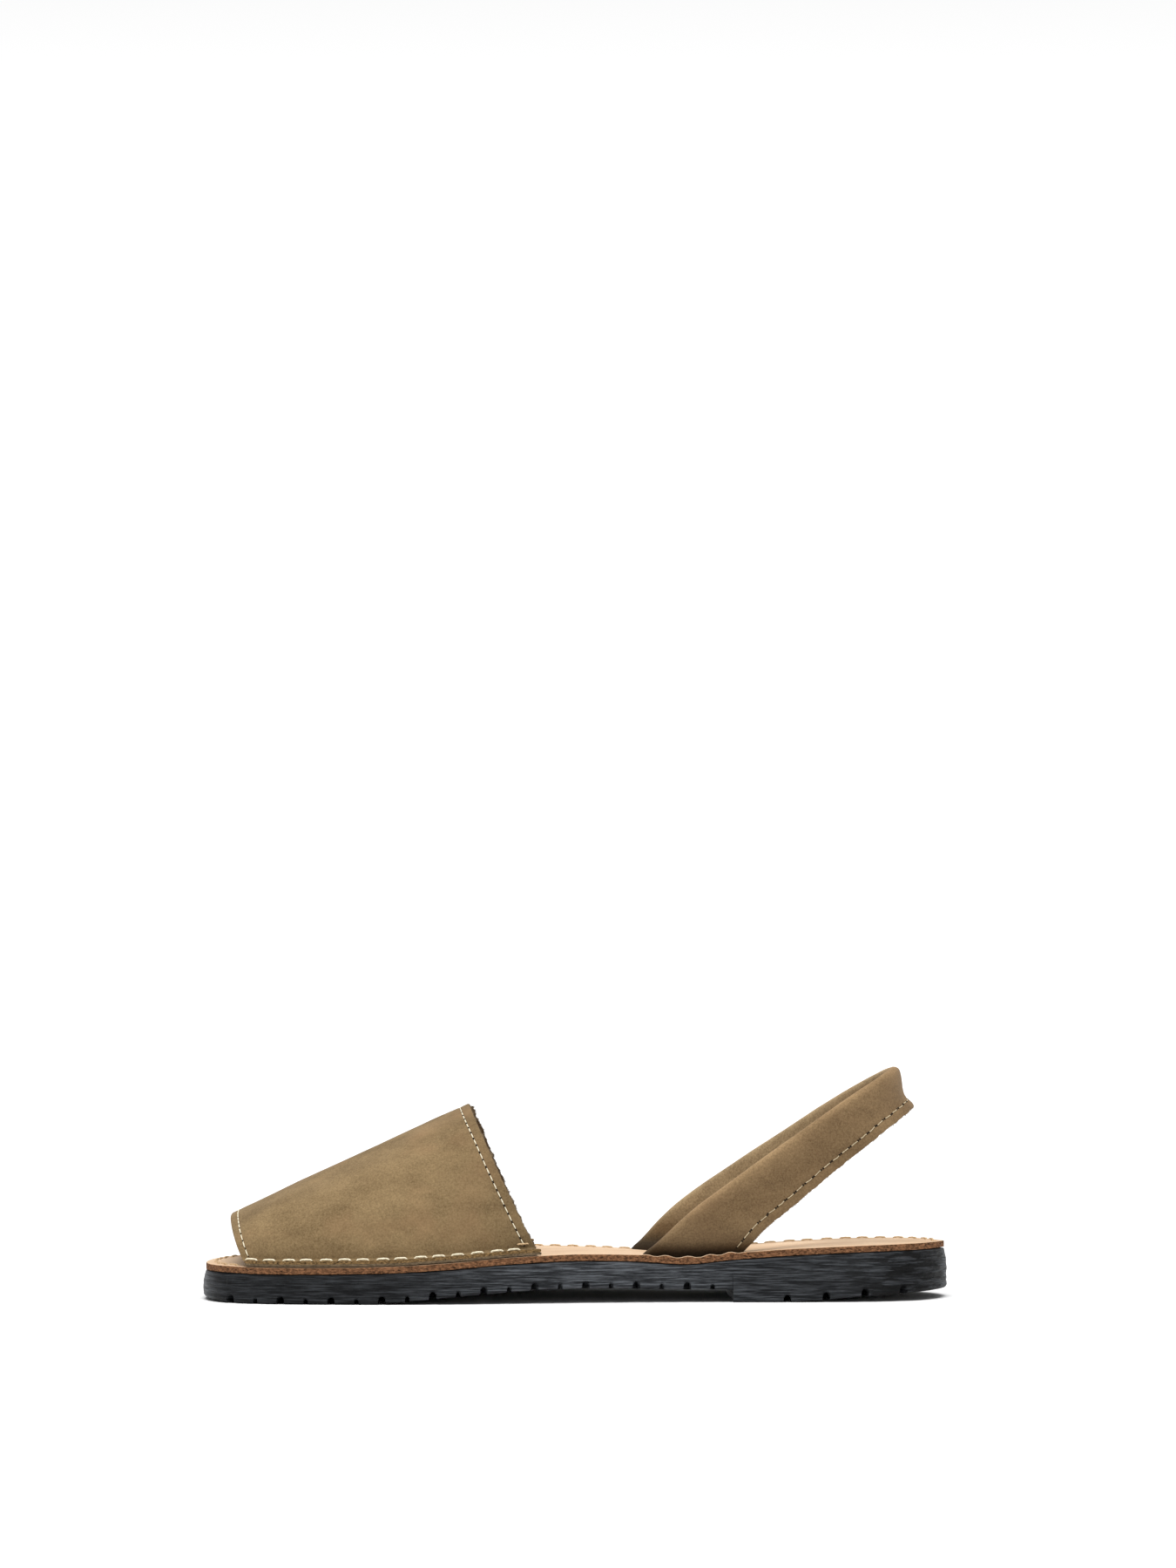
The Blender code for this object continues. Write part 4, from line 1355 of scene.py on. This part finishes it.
def strap_path():
    """The strap's folded and sewn edges from the inner slot round the heel to the outer slot."""
    lift = SEAT_GAP + INSOLE_THICK + SEAT_GAP
    inner = [strap_foot(INNER, lift)] + [strap_edges(row, INNER) for row in STRAP_ROWS]
    outer = [strap_edges(row, OUTER) for row in STRAP_ROWS[-2::-1]] + [strap_foot(OUTER, lift)]
    tail = SEAT_GAP - POCKET_DEPTH
    loop = smooth_through(inner + outer, STRAP_STEPS)
    return [strap_foot(INNER, tail)] + loop + [strap_foot(OUTER, tail)]


def strap_half(width, a):
    """Half the strap's thickness at a distance from its folded edge."""
    fold = STRAP_THICK / 2
    if a < fold:
        return math.sqrt(max(0.0, fold**2 - (fold - a) ** 2))
    thinner = max(0.0, ((a - fold) / (width - fold) - BULGE_SHARE) / (1 - BULGE_SHARE))
    return fold - STRAP_BULGE * thinner


def slit_half(width, a):
    """Half the gap between the strap's layers at a distance from its folded edge."""
    fold = STRAP_THICK / 2
    return STRAP_SLIT / 2 * min(1.0, max(0.0, (a - fold) / (SLIT_SHARE * (width - fold))))


FACE_STEPS = 30
FOLD_STEPS = 10
SLIT_STEPS = 6


def strap_section(width):
    """Distances from the folded edge and out from the middle: one face, the fold and the other face,
    then one raw edge, the slit between the layers and the other raw edge."""
    fold = STRAP_THICK / 2
    shares = [1 - (k / FACE_STEPS) ** 1.25 for k in range(FACE_STEPS + 1)]
    face = [(fold + (width - fold) * share, 0) for share in shares]
    face = [(a, strap_half(width, a)) for a, zero in face]
    bend = []
    for k in range(1, FOLD_STEPS):
        angle = math.pi * k / FOLD_STEPS
        bend.append((fold - fold * math.sin(angle), fold * math.cos(angle)))
    back = [(a, -b) for a, b in reversed(face)]
    start = width * 0.35
    inside = [width - (width - start) * k / SLIT_STEPS for k in range(SLIT_STEPS + 1)]
    slit = [(a, -slit_half(width, a)) for a in inside]
    slit += [(a, slit_half(width, a)) for a in reversed(inside[:-1])]
    return face + bend + back, slit


def foot_swell(points):
    """How far each arm swells outwards just above the insole, from where it comes out of its slot."""
    swell = np.zeros(points.shape[:-1])
    for i, j in np.argwhere(points[..., 2] < insole_top(SLOT_START, 0.0) + FOOT_FADE):
        x, y, z = points[i, j]
        height = z - insole_top(x / LENGTH + 0.5, y)
        swell[i, j] = smooth_step(height, 0.3 * MM, 4 * MM) * smooth_step(-height, -FOOT_FADE, -4 * MM)
    return FOOT_BULGE * swell


def back_hollow(points, path):
    """How far the strap is bent in towards the heel, near its back and above its sewn edge."""
    folds = np.array([fold for fold, sewn in path])
    sewns = np.array([sewn for fold, sewn in path])
    widths = np.linalg.norm(sewns - folds, axis=1)
    down = np.linalg.norm(points - folds[:, None], axis=2) / widths[:, None]
    bend = smooth_step(down, 0.15, 0.68) * smooth_step(-down, -1.0, -0.68)
    behind = smooth_step(folds[:, 0], x_of(STRAP_ROWS[-1].along) - 16 * MM, x_of(STRAP_ROWS[-1].along))
    return BACK_HOLLOW * bend * behind[:, None]


def make_strap():
    path = strap_path()
    middles = [(fold + sewn) / 2 for fold, sewn in path]
    outside, inside, outs = [], [], []
    for i, (fold, sewn) in enumerate(path):
        width = (sewn - fold).length
        across = (sewn - fold) / width
        ahead, behind = middles[max(0, i - 1)], middles[min(len(path) - 1, i + 1)]
        out = across.cross(behind - ahead).normalized()
        skin, slit = strap_section(width)
        outside.append([fold + across * a + out * b for a, b in skin])
        inside.append([fold + across * a + out * b for a, b in slit])
        outs.append(out)
    outside, inside, outs = np.array(outside), np.array(inside), np.array(outs)
    outwards = outs * np.sign((outs[:, 1] * np.array(middles)[:, 1]).sum())
    outside += outwards[:, None] * (foot_swell(outside) - back_hollow(outside, path))[..., None]
    inside += outwards[:, None] * (foot_swell(inside) - back_hollow(inside, path))[..., None]
    below = unit(np.array([sewn - fold for fold, sewn in path]))
    ragged = ripple(outside[:, 0], (2.2 * MM,) * 3, 4.4) + 0.6 * ripple(outside[:, 0], (0.8 * MM,) * 3, 8.8)
    ragged *= smooth_step(outside[:, 0, 2], 24 * MM, 30 * MM)
    for k, share in enumerate((1.0, 0.8, 0.5, 0.2)):
        outside[:, k] += below * ragged[:, None] * share * STRAP_RAG
        outside[:, -1 - k] += below * ragged[:, None] * share * STRAP_RAG
    ups = normals_of(outside)
    facing = np.sign((ups[5, 0] * outs[5]).sum())
    ups *= facing
    soft = 0.12 * MM * ripple(outside, (15 * MM,) * 3, 2.2) + 0.04 * MM * ripple(outside, (4 * MM,) * 3, 9.1)
    soft[:3] = 0
    soft[-3:] = 0
    outside = outside + ups * soft[..., None]

    seams = []
    for backwards, seed in ((False, 13), (True, 17)):
        columns = outside[:, ::-1] if backwards else outside
        directions = ups[:, ::-1] if backwards else ups
        seam = seam_along_edge(
            np.swapaxes(columns, 0, 1)[:FACE_STEPS], np.swapaxes(directions, 0, 1)[:FACE_STEPS], STRAP_MARGIN
        )
        start, end = seam.reach[2] + 1.5 * MM, seam.reach[-3] - 1.5 * MM
        seams.append((seam, seam.stitches(STRAP_PITCH, STRAP_GAP, start, end, 0.12 * MM, seed)))

    for seam, stitches in seams:
        outside = press(outside, ups, line_of(seam, stitches, 0.4 * MM), 0.18 * MM, 0.7 * MM)
        outside = press(outside, ups, holes_of(seam, stitches), 0.14 * MM, 0.45 * MM)

    shell = Shell()
    skin, slit = shell.add(outside), shell.add(inside)
    shell.skin(skin, 0)
    shell.skin(slit, 1)
    shell.skin(np.stack([skin[:, -1], slit[:, 0]], axis=1), 1)
    shell.skin(np.stack([slit[:, -1], skin[:, 0]], axis=1), 1)
    for k in (0, -1):
        ring = [*skin[k].tolist(), *slit[k].tolist()]
        shell.face(ring if k == 0 else ring[::-1], 1)
    piece = make_piece("strap_nubuck", shell, [STRAP_NUBUCK_PAINTED_LIGHT, NUBUCK_RAW], "slingback_strap")
    # Painted highlight: per-point values, highest at the fold, that make the nap paler where the fold catches the
    # light.
    folds = np.array([fold for fold, sewn in path])
    wear_and_fold_highlight = np.zeros(len(shell.points))
    wear_and_fold_highlight[skin] = np.exp(-np.linalg.norm(outside - folds[:, None], axis=2) / FOLD_HIGHLIGHT_REACH)
    piece.data.attributes.new("wear_and_fold_highlight", "FLOAT", "POINT").data.foreach_set("value", wear_and_fold_highlight)

    threads, dents = Shell(), Shell()
    for seam, stitches in seams:
        sew(threads, seam.lowered(0.18 * MM), stitches, STRAP_THREAD, 2)
        dots(dents, seam.lowered(0.16 * MM), stitches, STRAP_HOLE)
    make_piece("strap_seam", threads, [STRAP_CREAM], "slingback_strap")
    fuzz_edge("strap_fuzz", outside[:, 0], outside[:, -1], below, 1500, "slingback_strap", 23)
    make_piece("strap_needle_holes", dents, [HOLE_SHADE], "slingback_strap")


# Studio


def make_studio():
    material, tree, shader = new_look("floor", 0.9, 0.1)
    shade = grain(tree, 60 * MM, 2.0)
    floor_colour = blend(tree, shade, (FLOOR_SHADE - 0.01,) * 3, (FLOOR_SHADE + 0.01,) * 3)
    tree.links.new(floor_colour, shader.inputs["Base Color"])
    mesh = bpy.data.meshes.new("floor")
    size = 12.0
    corners = [(-size, -size, 0), (size, -size, 0), (size, size, 0), (-size, size, 0)]
    mesh.from_pydata(corners, [], [(0, 1, 2, 3)])
    mesh.materials.append(material)
    floor = bpy.data.objects.new("floor", mesh)
    bpy.context.scene.collection.objects.link(floor)

    data = bpy.data.lights.new("softbox", "SUN")
    data.energy = SUN_POWER
    data.angle = math.radians(SUN_ANGLE)
    light = bpy.data.objects.new("softbox", data)
    light.location = (0, 0, 1)
    light.rotation_euler = (math.radians(SUN_LEAN), 0, 0)
    bpy.context.scene.collection.objects.link(light)

    world = bpy.data.worlds.new("studio")
    world.use_nodes = True
    tree = world.node_tree
    background = tree.nodes["Background"]
    heading = node(tree, "ShaderNodeTexCoord").outputs["Generated"]
    height = node(tree, "ShaderNodeSeparateXYZ", {"Vector": heading}).outputs["Z"]
    fade = spread(tree, height, *SKY_FADE)
    low, high = (SKY_LOW,) * 3, (SKY_HIGH,) * 3
    tree.links.new(blend(tree, fade, low, high), background.inputs["Color"])
    background.inputs["Strength"].default_value = 1.0
    bpy.context.scene.world = world


def make_camera():
    data = bpy.data.cameras.new("camera")
    scale = (PHOTO_HEEL_X - PHOTO_TOE_X) / LENGTH
    data.sensor_width = SENSOR
    data.lens = SENSOR * scale * CAMERA_DISTANCE / PHOTO_HEIGHT
    camera = bpy.data.objects.new("camera", data)
    middle = (PHOTO_TOE_X + PHOTO_HEEL_X) / 2
    camera.location = (
        (PHOTO_WIDTH / 2 - middle) / scale,
        -CAMERA_DISTANCE,
        (PHOTO_FLOOR_Y - PHOTO_HEIGHT / 2) / scale,
    )
    camera.rotation_euler = (math.pi / 2, 0, 0)
    bpy.context.scene.collection.objects.link(camera)
    bpy.context.scene.camera = camera
    bpy.context.scene.view_settings.view_transform = "Standard"


make_camera()
make_studio()
make_outsole()
make_insole()
make_vamp()
make_strap()
